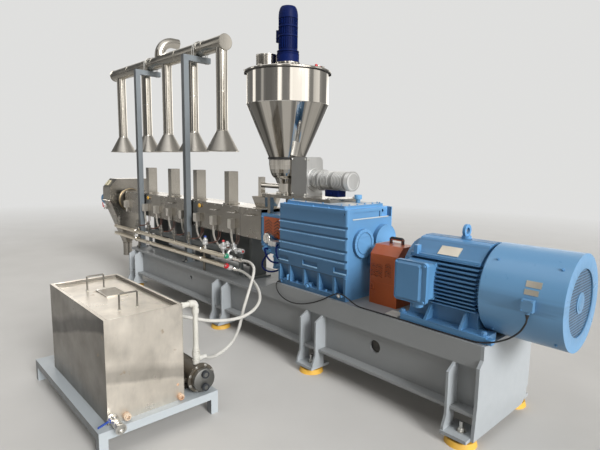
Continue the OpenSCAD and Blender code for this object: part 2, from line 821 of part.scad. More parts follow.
module feeder_stand() centred() color("#8d8f8e") {
    x0 = 2580;
    post = 40;
    post_out = 130;
    cover_z = gear_top + gear_cover_t;
    translate([x0, -170, stand_z]) cube([stand_end_x - x0, 340, stand_t]);
    for (y = [-post_out, post_out - post]) {
        translate([x0 + 30, y, lantern_top]) cube([post, post, stand_z - lantern_top]);
        if (stand_z > cover_z) for (x = [gear_x + 60, stand_end_x - 100])
            translate([x, y, cover_z]) cube([post, post, stand_z - cover_z]);
    }
}

module feeder_housing() centred() color("#7c7973") {
    bowl_z = stand_top + 142;
    bowl_top = cone_z - 21;
    bowl_r = 107;
    rim_r = hopper_out_d / 2;
    neck_d = 150;
    auger_z = stand_top + 64;
    chute_x = 2354;
    chute_y = -39;
    chute_w = 44;
    chute_d = 50;
    chute_z = cover_top + 56;
    chute_h = 238;
    wall = 4;
    translate([hopper_x, 0, 0]) {
        translate([0, 0, stand_top]) cylinder(d = neck_d, h = bowl_z - stand_top - 48);
        rotate_extrude() polygon(concat(
            [[0, bowl_z - 48], [90, bowl_z - 48]],
            [for (t = [0 : 15 : 90]) [
                bowl_r + (rim_r - bowl_r) * sin(t), bowl_top - (bowl_top - bowl_z) * cos(t)
            ]],
            [[rim_r, cone_z], [0, cone_z]]
        ));
    }
    translate([chute_x + chute_w - 1, -14, auger_z]) bar_x(48, hopper_x - chute_x - chute_w - 60);
    translate([chute_x, chute_y, chute_z]) difference() {
        cube([chute_w, chute_d, chute_h]);
        translate([wall, wall, -1]) cube([chute_w - 2 * wall, chute_d - 2 * wall, chute_h + 2]);
    }
}

module feeder_drive() centred() color("#9a9c9c") {
    case_x = hopper_x + 170;
    case_len = 192;
    case_w = 190;
    case_h = cone_z + 8 - stand_top;
    corner = 40;
    motor_z = stand_top + 142;
    steps = [[190, 20], [150, 70], [176, 24], [146, 110], [132, 20], [150, 150], [156, 37]];
    ends = [for (i = 0, x = 0; i < len(steps); x = x + steps[i][1], i = i + 1) x];
    translate([case_x, 0, stand_top]) along_x(case_len) hull() {
        translate([-case_w / 2, 0]) square([case_w, case_h - corner]);
        translate([-case_w / 2, case_h - corner]) square([case_w - corner, corner]);
        translate([case_w / 2 - corner, case_h - corner]) circle(r = corner);
    }
    translate([case_x + case_len, 0, motor_z])
        for (i = [0 : len(steps) - 1]) translate([ends[i], 0, 0]) bar_x(steps[i][0], steps[i][1]);
    translate([case_x + 366, -45, stand_top + 16]) cube([135, 90, 56]);
}

module feed_hopper() centred() color("#8e8b86") {
    t = 5;
    translate([hopper_x, 0, 0]) rotate_extrude($fn = 72) polygon([
        [hopper_out_d / 2, cone_z], [hopper_d / 2, drum_z], [hopper_d / 2, rim_z],
        [hopper_d / 2 - t, rim_z], [hopper_d / 2 - t, drum_z], [hopper_out_d / 2 - t, cone_z]
    ]);
}

module hopper_lid() centred() color("#9b9791") {
    translate([hopper_x, 0, rim_z]) {
        cylinder(r = lid_r, h = 12, $fn = 72);
        translate([0, 0, 12]) cylinder(r1 = 300, r2 = 110, h = 30, $fn = 72);
        translate([0, 0, 40]) cylinder(d = 220, h = 50);
        translate([-190, -85, 12]) cylinder(d = stub_d, h = stub_h);
        translate([180, 195, 12]) cylinder(d = 40, h = 60);
    }
}

module agitator_motor() centred() color("#1d3f8f") {
    r = agit_d / 2;
    flange_r = r + 20;
    ring_r = r + 7;
    dome_z = 380;
    translate([hopper_x, 0, rim_z + 90]) {
        rotate_extrude() polygon(concat(
            [
                [0, 0], [flange_r, 0], [flange_r, 66], [ring_r, 70], [ring_r, 108],
                [r, 112], [r, 215], [ring_r, 218], [ring_r, 232], [r, 235], [r, 292],
                [ring_r, 295], [ring_r, 309], [r, 312], [r, 364], [ring_r, 367]
            ],
            [for (t = [0 : 15 : 75]) [ring_r - 30 + 30 * cos(t), dome_z + 91 * sin(t)]],
            [[0, dome_z + 91]]
        ));
        translate([-r - 32, -40, 188]) cube([60, 80, 100]);
    }
}

module exhaust_header() centred() color("#8c8377") {
    z = post_top + header_d / 2;
    rim_t = 12;
    translate([header_x, 0, z]) bar_x(header_d, header_len);
    for (x = [header_x, header_x + header_len - rim_t])
        translate([x, 0, z]) bar_x(header_d + 8, rim_t);
}

module exhaust_elbow() centred() color("#8c8377") {
    z = post_top + header_d / 2;
    elbow_x = 300;
    bend = 180;
    riser = header_d / 2 - 1;
    tail = 76;
    translate([elbow_x, 0, z]) difference() {
        union() {
            cylinder(d = drop_d, h = riser);
            translate([0, bend, riser]) rotate([90, 0, 90]) rotate_extrude_quarter(bend, drop_d);
            translate([0, bend, riser + bend]) bar_y(drop_d, tail);
        }
        translate([-header_len / 2, 0, 0]) bar_x(header_d, header_len);
        translate([0, bend, riser + bend]) bar_y(drop_d - 2 * duct_t, tail + 1);
    }
}

// Quarter of a bent pipe that starts upwards and ends along the first axis
module rotate_extrude_quarter(bend, d)
    rotate([0, 0, 90]) rotate_extrude(angle = 90) translate([bend, 0]) circle(d = d);

// One drop pipe with its cone hood
module exhaust_hood(i) translate([drop_xs[i], 0, 0]) {
    top = post_top + header_d / 2;
    wall = duct_t;
    neck = drop_d / 2;
    rim = hood_d / 2;
    difference() {
        rotate_extrude() polygon([
            [neck - wall, hood_z + hood_h], [rim - wall, hood_z], [rim, hood_z],
            [neck, hood_z + hood_h], [neck, top], [neck - wall, top]
        ]);
        translate([-hood_d, 0, top]) bar_x(header_d, 2 * hood_d);
    }
}

module exhaust_hood_1() centred() color("#8c8377") exhaust_hood(0);
module exhaust_hood_2() centred() color("#8c8377") exhaust_hood(1);
module exhaust_hood_3() centred() color("#8c8377") exhaust_hood(2);
module exhaust_hood_4() centred() color("#8c8377") exhaust_hood(3);
module exhaust_hood_5() centred() color("#8c8377") exhaust_hood(4);

module exhaust_posts() centred() color("#68737c") {
    y0 = -214;
    for (x = post_xs) translate([x - post_w / 2, y0, 0]) {
        translate([0, 0, deck_z]) cube([post_w, post_w, post_top - deck_z]);
        translate([0, 0, post_top - post_w]) cube([post_w, 336, post_w]);
        translate([-10, -30, deck_z]) cube([post_w + 20, post_w + 60, 12]);
    }
}

module skid_frame() centred() color("#9aa0a4") {
    rail = 50;
    deck_t = 6;
    translate([skid_x, skid_y, 0]) {
        difference() {
            translate([0, 0, skid_h - rail]) cube([skid_len, skid_w, rail - deck_t]);
            translate([rail, rail, skid_h - rail - 1])
                cube([skid_len - 2 * rail, skid_w - 2 * rail, rail]);
        }
        translate([0, 0, skid_h - deck_t]) cube([skid_len, skid_w, deck_t]);
        for (x = [0, skid_len - rail], y = [0, skid_w - rail])
            translate([x, y, 0]) cube([rail, rail, skid_h - rail]);
    }
}

module water_tank() centred() color("#b9b1a4") {
    translate([tank_x, tank_y, skid_h]) difference() {
        cube([tank_len, tank_w, tank_h]);
        translate([tank_t, tank_t, tank_t])
            cube([tank_len - 2 * tank_t, tank_w - 2 * tank_t, tank_h]);
    }
    translate([tank_x + tank_t, tank_y + tank_t, lid_z - 8]) difference() {
        cube([tank_len - 2 * tank_t, tank_w - 2 * tank_t, 8]);
        translate([14, 14, -1]) cube([tank_len - 2 * tank_t - 28, tank_w - 2 * tank_t - 28, 10]);
    }
}

module tank_lid() centred() color("#c4bcae") {
    gap = 1;
    handle_w = 110;
    handle_h = 102;
    len = tank_len - 2 * tank_t - 2 * gap;
    w = tank_w - 2 * tank_t - 2 * gap;
    translate([tank_x + tank_t + gap, tank_y + tank_t + gap, lid_z]) {
        cube([len, w, 4]);
        translate([292, 196, 4]) cube([206, 134, 4]);
        for (x = [253, 802]) translate([x, 156, 0]) {
            for (y = [0, handle_w]) translate([0, y, 3]) cylinder(d = 9, h = handle_h);
            translate([0, 0, handle_h]) bar_y(8, handle_w);
        }
    }
}

module heat_exchanger() centred() color("#a3a3a0") {
    end_x = tank_x + tank_len + 20;
    y = tank_y + tank_w + 123;
    translate([0, y, skid_h + hx_d / 2]) {
        translate([end_x - 700, 0, 0]) bar_x(150, 660);
        translate([end_x - 40, 0, 0]) bar_x(hx_d, 20);
        translate([end_x - 20, 0, 0]) bar_x(hx_d - 40, 40);
        for (z = [-42, 42]) translate([end_x + 20, 0, z]) difference() {
            bar_x(44, 18);
            translate([-1, 0, 0]) bar_x(26, 20);
        }
        translate([end_x - 700, 0, 0]) bar_x(hx_d, 20);
    }
    translate([end_x - 80, tank_y + tank_w, skid_h + 80]) bar_y(30, 70);
    for (x = [end_x - 600, end_x - 160]) translate([x, y - 60, skid_h]) cube([40, 120, 30]);
}

module tank_piping() centred() color("#e6e4df") {
    x = tank_x + tank_len - 60;
    y = tank_y + tank_w;
    top = skid_h + tank_h - 30;
    down_d = 34;
    reach = 123;
    port_z = skid_h + hx_d / 2 + 75;
    return_x = 3135;
    return_z = 600;
    translate([x, y, top]) bar_y(down_d, reach);
    translate([x, y + reach, port_z]) cylinder(d = down_d, h = top - port_z);
    translate([x, y + reach, port_z + 12]) cylinder(d = down_d + 8, h = 60);
    translate([return_x, y, return_z]) bar_y(down_d, 20);
    translate([tank_x + tank_len, tank_y + 26, skid_h + down_d / 2 + 6]) bar_x(down_d, 90);
}

module supply_hose() centred() color("#e9e6df") tube(supply_route, hose_d, [0.5, 0.7, 0.5], 10);

module return_hose() centred() color("#e9e6df") tube(return_route, hose_d, [0.5, 0.7, 0.5], 10);

module fan_cable() centred() color("#1c1c1c") tube(cable_route, cable_d, [0.1, -0.75, 0.65], 8);

base_frame();
base_legs();
leveling_feet();
gearbox_housing();
gearbox_cover();
motor_body();
fan_cowl();
terminal_box();
coupling_guard();
lantern_housing();
lantern_guard();
oil_pump();
barrel();
barrel_supports();
barrel_cover();
vents_die_end();
vents_feed_end();
heater_plugs();
manifold_pipes();
water_valves();
cutter_hood();
cutter_motor();
catch_hopper();
feeder_stand();
feeder_housing();
feeder_drive();
feed_hopper();
hopper_lid();
agitator_motor();
exhaust_header();
exhaust_elbow();
exhaust_hood_1();
exhaust_hood_2();
exhaust_hood_3();
exhaust_hood_4();
exhaust_hood_5();
exhaust_posts();
skid_frame();
water_tank();
tank_lid();
heat_exchanger();
tank_piping();
lifting_eye();
supply_hose();
return_hose();
fan_cable();
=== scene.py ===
import itertools
import json
import math

import bmesh
import bpy
from mathutils import Matrix, Vector


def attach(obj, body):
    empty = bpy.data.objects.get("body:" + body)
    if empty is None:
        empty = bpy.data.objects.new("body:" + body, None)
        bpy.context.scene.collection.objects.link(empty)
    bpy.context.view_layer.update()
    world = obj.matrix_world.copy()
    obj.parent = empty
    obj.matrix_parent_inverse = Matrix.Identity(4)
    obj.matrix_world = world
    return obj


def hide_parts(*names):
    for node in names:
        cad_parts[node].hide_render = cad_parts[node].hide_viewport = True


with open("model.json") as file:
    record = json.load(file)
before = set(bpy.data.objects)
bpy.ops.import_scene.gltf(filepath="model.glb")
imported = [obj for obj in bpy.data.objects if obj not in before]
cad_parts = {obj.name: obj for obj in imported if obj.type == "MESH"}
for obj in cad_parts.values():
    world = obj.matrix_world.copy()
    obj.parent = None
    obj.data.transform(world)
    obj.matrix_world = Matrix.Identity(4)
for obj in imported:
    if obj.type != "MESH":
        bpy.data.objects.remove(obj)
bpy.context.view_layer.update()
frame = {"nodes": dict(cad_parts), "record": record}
scene = bpy.context.scene
scene.view_settings.view_transform = "Standard"

# The machine's own millimetres start at the die end of the base, on its centre line
MACHINE_X, MACHINE_Y = 1990, -775

CAMERA_AT = (5935.3, -2794.8, 1632)
CAMERA_YAW, CAMERA_PITCH, CAMERA_ROLL = (math.radians(a) for a in (47.27, 7.83, 0.77))
LENS = 28.06


def place(x, y, z):
    """A point given in the machine's millimetres, in the row frame in metres."""
    return Vector(((x - MACHINE_X) / 1000, (y - MACHINE_Y) / 1000, z / 1000))


def make_camera():
    data = bpy.data.cameras.new("camera")
    data.sensor_width = 36
    data.lens = LENS
    data.clip_end = 200
    camera = bpy.data.objects.new("camera", data)
    scene.collection.objects.link(camera)
    level = Vector((math.cos(CAMERA_YAW), math.sin(CAMERA_YAW), 0))
    forward = level.cross(Vector((0, 0, -1)))
    ahead = forward * math.cos(CAMERA_PITCH) - Vector((0, 0, math.sin(CAMERA_PITCH)))
    upright = level.cross(ahead)
    right = math.cos(CAMERA_ROLL) * level + math.sin(CAMERA_ROLL) * upright
    up = math.cos(CAMERA_ROLL) * upright - math.sin(CAMERA_ROLL) * level
    turn = Matrix((right, up, -ahead)).transposed().to_4x4()
    camera.matrix_world = Matrix.Translation(place(*CAMERA_AT)) @ turn
    scene.camera = camera


make_camera()


# Materials

class Graph:
    """Makes and joins the nodes of one material or world."""

    def __init__(self, holder):
        self.nodes, self.links = holder.node_tree.nodes, holder.node_tree.links

    def put(self, socket, value):
        """Gives a socket a number, a vector, a colour or another node's output."""
        if isinstance(value, bpy.types.NodeSocket):
            self.links.new(value, socket)
        elif socket.type == "RGBA":
            socket.default_value = (*value, 1)
        else:
            socket.default_value = value

    def make(self, kind, inputs, output=0, **settings):
        node = self.nodes.new("ShaderNode" + kind)
        for name, value in settings.items():
            setattr(node, name, value)
        for key, value in inputs.items():
            self.put(node.inputs[key], value)
        return node.outputs[output]

    def where(self):
        return self.make("TexCoord", {}, "Object")

    def normal(self):
        return self.make("NewGeometry", {}, "Normal")

    def part(self, vector, axis):
        return self.make("SeparateXYZ", {0: vector}, axis)

    def maths(self, operation, *values):
        return self.make("Math", dict(enumerate(values)), operation=operation)

    def noise(self, where, scale, detail=4.0, stretch=(1, 1, 1)):
        mapped = self.make("Mapping", {"Vector": where, "Scale": stretch})
        return self.make("TexNoise", {"Vector": mapped, "Scale": scale, "Detail": detail}, "Fac")

    def spread(self, value, low, high, start=0.3, end=0.7):
        """Maps a value from start..end to low..high."""
        return self.make("MapRange", {"Value": value, "From Min": start, "From Max": end,
                                      "To Min": low, "To Max": high}, "Result")

    def within(self, value, rise, fall, full=1):
        """Full between the two ranges, where the value rises and falls, and 0 outside them."""
        return self.maths("MULTIPLY", self.spread(value, 0, full, *rise), self.spread(value, 1, 0, *fall))

    def facing(self, axis, sign, start=0.35, end=0.95):
        """How far a face looks along one axis, from 0 to 1."""
        return self.spread(self.part(self.normal(), axis), 0, 1, sign * start, sign * end)

    def edges(self):
        """Worn outer edges, from 0 to 1."""
        return self.spread(self.make("NewGeometry", {}, "Pointiness"), 0, 1, 0.52, 0.60)

    def blend(self, factor, first, second, how="MIX"):
        """Two colours, mixed by a factor."""
        sockets = {"Factor": factor, 6: first, 7: second}
        return self.make("Mix", sockets, 2, data_type="RGBA", blend_type=how)

    def times(self, colour, factor, low, high):
        """A colour times a grey between low and high, chosen by a factor."""
        return self.blend(1, colour, self.blend(factor, (low,) * 3, (high,) * 3), "MULTIPLY")

    def clouds(self, colour, where, scale, detail, low, high):
        """Soft lighter and darker clouds of one colour."""
        factor = self.spread(self.noise(where, scale, detail), 0, 1)
        return self.blend(factor, shade(colour, low), shade(colour, high))

    def shader(self, name):
        return self.nodes["Principled BSDF"].inputs[name]

    def surface(self, colour, rough, height, depth):
        bump = self.make("Bump", {"Strength": 1, "Distance": depth, "Height": height}, "Normal")
        for name, value in (("Base Color", colour), ("Roughness", rough), ("Normal", bump)):
            self.put(self.shader(name), value)


def shade(colour, factor):
    return tuple(min(1.0, c * factor) for c in colour)


def new_material(name, metallic, coat=0.0, specular=0.5):
    mat = bpy.data.materials.new(name)
    mat.use_nodes = True
    g = Graph(mat)
    g.shader("Metallic").default_value = metallic
    g.shader("Coat Weight").default_value = coat
    g.shader("Specular IOR Level").default_value = specular
    return mat, g, g.where()


DUST_AND_SHEEN = (0.62, 0.61, 0.58)
RUST_STAIN = (0.42, 0.29, 0.16)
ALONG_X, ALONG_Z, ROUND = (0.04, 1, 1), (1, 1, 0.04), (1, 1, 0)


def paint(name, colour, rough=0.42, dust=0.25, coat=0.15, shaded_side=1.0, specular=0.5):
    """Sprayed enamel with a slight orange peel, pale dust on faces that look up (on the gearbox cover a
    painted sheen as well), worn edges, painted shade under faces that look down, and painted shade on the
    side that looks to -Y.
    """
    mat, g, where = new_material(name, 0.0, coat, specular)
    tone = g.clouds(colour, where, 2.2, 5, 0.9, 1.08)
    # Pale top colour: dust, and on the gearbox cover mostly a painted sheen of the bright sky.
    lying = g.maths("MULTIPLY", g.facing("Z", 1, 0.5, 1.0), g.spread(g.noise(where, 9, 6), 0, dust))
    tone = g.blend(lying, tone, DUST_AND_SHEEN)
    tone = g.blend(g.edges(), tone, shade(colour, 1.35))
    # Painted shade under faces that look down.
    tone = g.times(tone, g.facing("Z", -1, 0.1, 0.9), 1, 0.55)
    # Painted shade on faces that look to -Y.
    tone = g.times(tone, g.facing("Y", -1), 1, shaded_side)
    rough = g.spread(g.noise(where, 14), rough - 0.07, rough + 0.1)
    g.surface(tone, rough, g.noise(where, 260, 2), 0.00025)
    return mat


def metal(name, colour, rough, stretch=(1, 1, 1), variation=0.2, smear=0.12, depth=0.0001, shaded_side=1.0):
    """Rolled or brushed steel with streaks along the brushing, soft stains and painted shade on the side
    that looks to -Y.
    """
    mat, g, where = new_material(name, 1.0)
    streak = g.noise(where, 90, 3, stretch)
    stain = g.noise(where, 3.2, 6)
    tone = g.blend(g.spread(stain, 0, 1), shade(colour, 1 - variation), shade(colour, 1 + variation / 2))
    tone = g.blend(g.spread(streak, 0, 0.35), tone, shade(colour, 0.78))
    # Painted shade on faces that look to -Y.
    tone = g.times(tone, g.facing("Y", -1), 1, shaded_side)
    g.surface(tone, g.spread(stain, rough - smear / 2, rough + smear), streak, depth)
    return mat


# Darker wavy bands on two sides of the tank: the side they are on, how they tilt, from and to in metres,
# and how dark
TANK_BANDS = (("X", 1, "Y", 0.2325, 0.194, 0.236, 0.66), ("Y", -1, "X", -0.294, 0.330, 0.395, 0.40))


def tank_sheet(name, colour):
    """Satin sheet with smudges, runs, darker wavy bands, and painted shade on the side that looks to -Y."""
    mat, g, where = new_material(name, 1.0)
    tone = g.clouds(colour, where, 4.5, 8, 0.84, 1.12)
    tone = g.times(tone, g.spread(g.noise(where, 11, 7, (1, 1, 0.55)), 0, 1, 0.52, 0.74), 1, 0.84)
    tone = g.times(tone, g.spread(g.noise(where, 60, 3, (1, 1, 0.3)), 0, 1), 0.97, 1.02)
    wander = g.noise(where, 3, 5)
    for axis, sign, other, slope, low, high, depth in TANK_BANDS:
        height = g.maths("MULTIPLY_ADD", g.part(where, other), slope, g.part(where, "Z"))
        height = g.maths("MULTIPLY_ADD", wander, 0.10, height)
        band = g.within(height, (low - 0.02, low), (high, high + 0.05))
        tone = g.times(tone, g.maths("MULTIPLY", band, g.facing(axis, sign)), 1, depth)
    # Painted shade on faces that look to -Y.
    tone = g.times(tone, g.facing("Y", -1), 1, 0.26)
    tone = g.blend(g.spread(g.noise(where, 13, 3), 0, 0.55, 0.68, 0.74), tone, RUST_STAIN)
    g.surface(tone, g.spread(g.noise(where, 5, 6), 0.26, 0.46), g.noise(where, 2.5, 2), 0.004)
    return mat


# Painted dark reflection patches round the hopper: from and to in degrees about Z, and how dark
DARK_REFLECTION_PATCHES = ((-124, -82, 0.30), (16, 100, 0.14))
PATCH_FADE = 4


def polished(name, colour):
    """Bright rolled sheet with painted reflections: a lit and a dark copy banded by the way each face
    looks, painted dark patches at fixed angles about Z, and the dark copy where it looks down.
    """
    mat, g, where = new_material(name, 1.0)
    normal = g.normal()
    azimuth = g.maths("ARCTAN2", g.part(normal, "Y"), g.part(normal, "X"))
    # Painted reflections: a lit copy and a dark copy, banded by the way each face looks.
    lit = g.blend(g.spread(g.noise(normal, 5, 2, ROUND), 0, 1, 0.42, 0.58),
                  shade(colour, 0.84), shade(colour, 1.12))
    dark = g.blend(g.spread(g.noise(normal, 6, 3, ROUND), 0, 1, 0.44, 0.56),
                   shade(colour, 0.40), shade(colour, 0.88))
    for start, end, factor in DARK_REFLECTION_PATCHES:
        rise, fall = ([math.radians(a - PATCH_FADE), math.radians(a + PATCH_FADE)] for a in (start, end))
        dark = g.times(dark, g.within(azimuth, rise, fall), 1, factor)
    # Painted dark reflection where a face looks down.
    under = g.spread(g.part(normal, "Z"), 1, 0, -0.35, -0.1)
    rough = g.spread(g.noise(where, 5), 0.05, 0.12)
    g.surface(g.blend(under, lit, dark), rough, g.noise(normal, 4, 2, ROUND), 0.002)
    return mat


def moulded(name, colour, rough=0.45, dirt=(0.30, 0.27, 0.22), amount=0.25):
    """Plastic or rubber with a fine skin and a little dirt."""
    mat, g, where = new_material(name, 0.0)
    tone = g.blend(g.spread(g.noise(where, 12, 7), 0, amount, 0.45, 0.75), colour, dirt)
    rough = g.spread(g.noise(where, 30, 3), rough - 0.06, rough + 0.12)
    g.surface(tone, rough, g.noise(where, 420, 2), 0.0001)
    return mat


def perforated(name, colour, pitch, hole):
    """Sheet with rows of round holes, across the machine's Y and Z; the holes are painted dark as the shade
    seen through them.
    """
    mat, g, where = new_material(name, 0.0, 0.2)
    squares = [g.maths("POWER", g.maths("PINGPONG", g.part(where, axis), pitch / 2), 2) for axis in "YZ"]
    solid = g.spread(g.maths("ADD", *squares), 0, 1, (hole * 0.85) ** 2, hole ** 2)
    # Holes painted dark: painted shade seen through them.
    tone = g.blend(solid, shade(colour, 0.09), g.clouds(colour, where, 9, 4, 0.88, 1.1))
    g.surface(tone, g.spread(g.noise(where, 14), 0.38, 0.55), solid, 0.002)
    return mat


LOOKS = (
    ("base_paint", paint, (0.205, 0.214, 0.218), dict(rough=0.5, dust=0.10, shaded_side=0.88)),
    ("leg_paint", paint, (0.30, 0.322, 0.338), dict(rough=0.45, dust=0.1, shaded_side=0.7)),
    ("pad_yellow", moulded, (0.80, 0.46, 0.06), dict(rough=0.5)),
    ("machine_blue", paint, (0.095, 0.245, 0.450),
     dict(rough=0.38, dust=0.05, coat=0.05, shaded_side=0.78, specular=0.35)),
    ("light_blue", paint, (0.115, 0.255, 0.430), dict(rough=0.34, dust=0.04, specular=0.4)),
    # Its large share of pale top colour paints the sky's sheen on the gearbox cover's top.
    ("cover_grey", paint, (0.11, 0.26, 0.45), dict(rough=0.5, dust=1.2, coat=0.0, specular=0.2)),
    ("guard_orange", paint, (0.360, 0.072, 0.012), dict(dust=0.2)),
    ("dark_steel", metal, (0.20, 0.18, 0.15), dict(rough=0.45, stretch=ALONG_X)),
    ("support_grey", paint, (0.09, 0.10, 0.10), dict()),
    ("stainless", metal, (0.52, 0.49, 0.44),
     dict(rough=0.22, stretch=ALONG_X, variation=0.35, depth=0.00003, shaded_side=0.6)),
    ("polished_steel", polished, (0.66, 0.63, 0.58), dict()),
    ("duct_steel", metal, (0.74, 0.70, 0.63),
     dict(rough=0.15, stretch=ALONG_Z, variation=0.12, smear=0.04, depth=0.00001, shaded_side=0.5)),
    ("post_paint", paint, (0.15, 0.17, 0.185), dict(dust=0.1, shaded_side=0.35)),
    ("skid_paint", paint, (0.31, 0.34, 0.36), dict(dust=0.12, shaded_side=0.28)),
    ("tank_steel", tank_sheet, (0.88, 0.82, 0.73), dict()),
    ("motor_navy", paint, (0.002, 0.008, 0.060), dict(rough=0.5, dust=0.0, coat=0.0, specular=0.1)),
    ("white_pipe", moulded, (0.60, 0.59, 0.54), dict()),
    ("hose_white", moulded, (0.60, 0.59, 0.55), dict(rough=0.35)),
    ("cable_black", moulded, (0.012, 0.012, 0.013), dict(rough=0.5, dirt=(0.1, 0.1, 0.1))),
    ("zinc", metal, (0.62, 0.61, 0.58), dict(rough=0.32, smear=0.15)),
    ("bright_steel", metal, (0.78, 0.75, 0.70), dict(rough=0.22, stretch=ALONG_X, smear=0.1)),
    ("brass", metal, (0.50, 0.40, 0.25), dict(rough=0.38)),
    ("rusty_iron", moulded, (0.62, 0.50, 0.38), dict(rough=0.7, dirt=(0.42, 0.17, 0.05), amount=0.9)),
    ("cast_alloy", metal, (0.80, 0.80, 0.79), dict(rough=0.45, variation=0.1)),
    ("conduit_grey", moulded, (0.42, 0.40, 0.36), dict(rough=0.4)),
    ("seam_dark", moulded, (0.020, 0.024, 0.030), dict(rough=0.7, dirt=(0.05, 0.05, 0.05))),
    ("cream_frame", moulded, (0.72, 0.66, 0.46), dict()),
    ("dark_window", moulded, (0.03, 0.03, 0.03), dict(rough=0.15, dirt=(0.12, 0.11, 0.1))),
    ("plate_alloy", metal, (0.86, 0.80, 0.68), dict(rough=0.36, stretch=ALONG_X)),
    ("black_clamp", moulded, (0.015, 0.015, 0.015), dict(rough=0.55)),
    ("red_grip", moulded, (0.52, 0.02, 0.03), dict(rough=0.4)),
    ("green_grip", moulded, (0.01, 0.26, 0.14), dict(rough=0.4)),
    ("blue_grip", moulded, (0.02, 0.06, 0.30), dict(rough=0.4)),
    ("wire_mesh", perforated, (0.34, 0.30, 0.24), dict(pitch=0.006, hole=0.0021)),
    ("fan_mesh", perforated, (0.095, 0.21, 0.36), dict(pitch=0.016, hole=0.0062)),
    ("galvanised_case", metal, (0.62, 0.62, 0.61),
     dict(rough=0.5, stretch=ALONG_Z, variation=0.15, shaded_side=0.62)),
    ("dark_fittings", metal, (0.22, 0.21, 0.19), dict(rough=0.4)),
    ("copper_lines", moulded, (0.085, 0.030, 0.018), dict(rough=0.35)),
    ("ledge_dust", paint, (0.42, 0.46, 0.46), dict(rough=0.5, dust=0.6)),
    # Light blue for painted highlights on the gearbox's groove lips and pocket edges.
    ("groove_lip", paint, (0.26, 0.46, 0.66), dict(rough=0.3, dust=0.0)),
    ("exchanger_face", metal, (0.20, 0.20, 0.19), dict(rough=0.42)),
    ("header_steel", metal, (0.54, 0.51, 0.45),
     dict(rough=0.2, stretch=ALONG_X, variation=0.15, depth=0.00002, shaded_side=0.5)),
    ("plug_case", metal, (0.66, 0.63, 0.58), dict(rough=0.36, variation=0.15)),
    ("gear_blue", paint, (0.115, 0.285, 0.520),
     dict(rough=0.4, dust=0.05, coat=0.05, shaded_side=0.50, specular=0.3)),
    ("pipe_steel", metal, (0.76, 0.69, 0.57), dict(rough=0.3, stretch=ALONG_X, variation=0.15)),
)
MATERIALS = {name: kind(name, colour, **more) for name, kind, colour, more in LOOKS}

# Nodes whose look differs from that of their slot
NODE_LOOKS = {
    "feeder_drive": "galvanised_case", "feeder_housing": "polished_steel", "manifold_pipes": "pipe_steel",
    "gearbox_housing": "gear_blue", "exhaust_header": "header_steel", "heater_plugs": "plug_case",
}

# The struts of the water pipes, below and between the pipes, in metres
STRUT_BANDS = ((0.40, 0.580), (0.630, 0.677))
BAND_EDGE = 0.003


def dark_between(mat, bands, factor):
    """Darkens a material where the height lies inside one of the bands."""
    g = Graph(mat)
    colour = g.shader("Base Color")
    height = g.part(g.where(), "Z")
    for low, high in bands:
        inside = g.within(height, (low, low + BAND_EDGE), (high - BAND_EDGE, high))
        g.put(colour, g.times(colour.links[0].from_socket, inside, 1, factor))


def satin_above(mat, rough, factor):
    """Duller and darker where a face looks up a little, as on the exhaust hoods."""
    g = Graph(mat)
    above = g.facing("Z", 1, 0.15, 0.35)
    colour, roughness = g.shader("Base Color"), g.shader("Roughness")
    g.put(colour, g.times(colour.links[0].from_socket, above, 1, factor))
    g.put(roughness, g.maths("MULTIPLY_ADD", above, rough, roughness.links[0].from_socket))


satin_above(MATERIALS["duct_steel"], 0.2, 0.62)
dark_between(MATERIALS["pipe_steel"], STRUT_BANDS, 0.22)

for part in frame["record"]["subparts"]:
    node = frame["nodes"][part["node"]]
    node.data.materials.clear()
    node.data.materials.append(MATERIALS[NODE_LOOKS.get(part["node"], part["material_slot"])])


# Hoses and the fan cable

HOSE_D, CABLE_D = 25, 10
SUPPLY_ROUTE = [
    (2329, -300, 702), (2400, -300, 702), (2480, -302, 710), (2560, -308, 714),
    (2630, -322, 706), (2690, -345, 680), (2732, -385, 628), (2768, -440, 560),
    (2815, -510, 485), (2875, -590, 412), (2945, -665, 360), (3025, -745, 325),
    (3105, -835, 300), (3170, -925, 284), (3215, -1015, 274), (3250, -1100, 274),
    (3292, -1165, 292), (3332, -1220, 320), (3360, -1255, 342), (3370, -1282, 352),
    (3370, -1304, 352),
]
RETURN_ROUTE = [
    (2329, -300, 605), (2400, -300, 605), (2490, -306, 601), (2610, -328, 584),
    (2760, -378, 556), (2890, -440, 528), (2975, -500, 498), (3025, -565, 468),
    (3055, -645, 442), (3072, -740, 428), (3082, -850, 432), (3090, -960, 450),
    (3097, -1070, 478), (3107, -1180, 520), (3120, -1280, 562), (3131, -1350, 589),
    (3135, -1400, 600), (3135, -1427.6, 600),
]
CABLE_ROUTE = [
    (5001, -287, 842), (5001, -287, 818), (4995, -289, 785), (4967, -293, 733),
    (4912, -297, 682), (4835, -299, 640), (4760, -299, 617), (4690, -299, 611),
    (4570, -302, 611), (4440, -304, 611), (4300, -301, 611), (4150, -302, 611),
    (4000, -304, 611), (3880, -306, 611), (3820, -305, 622), (3760, -302, 644),
    (3720, -300, 657), (3688, -300, 661), (3640, -303, 654), (3585, -318, 624),
    (3510, -334, 580), (3400, -338, 533), (3280, -339, 499), (3165, -338, 489),
    (3065, -336, 508), (3000, -333, 550), (2983, -330, 592), (2988, -324, 618),
    (3004, -305, 625),
]


def smoothed(points, steps):
    """A curve through every point, with more points between them."""
    p = [Vector(q) for q in points]
    p = [2 * p[0] - p[1]] + p + [2 * p[-1] - p[-2]]
    line = []
    for a, b, c, d in zip(p, p[1:], p[2:], p[3:]):
        for k in range(steps):
            t = k / steps
            line.append(0.5 * (2 * b + (c - a) * t + (2 * a - 5 * b + 4 * c - d) * t * t
                               + (3 * b - a - 3 * c + d) * t ** 3))
    return line + [p[-2]]


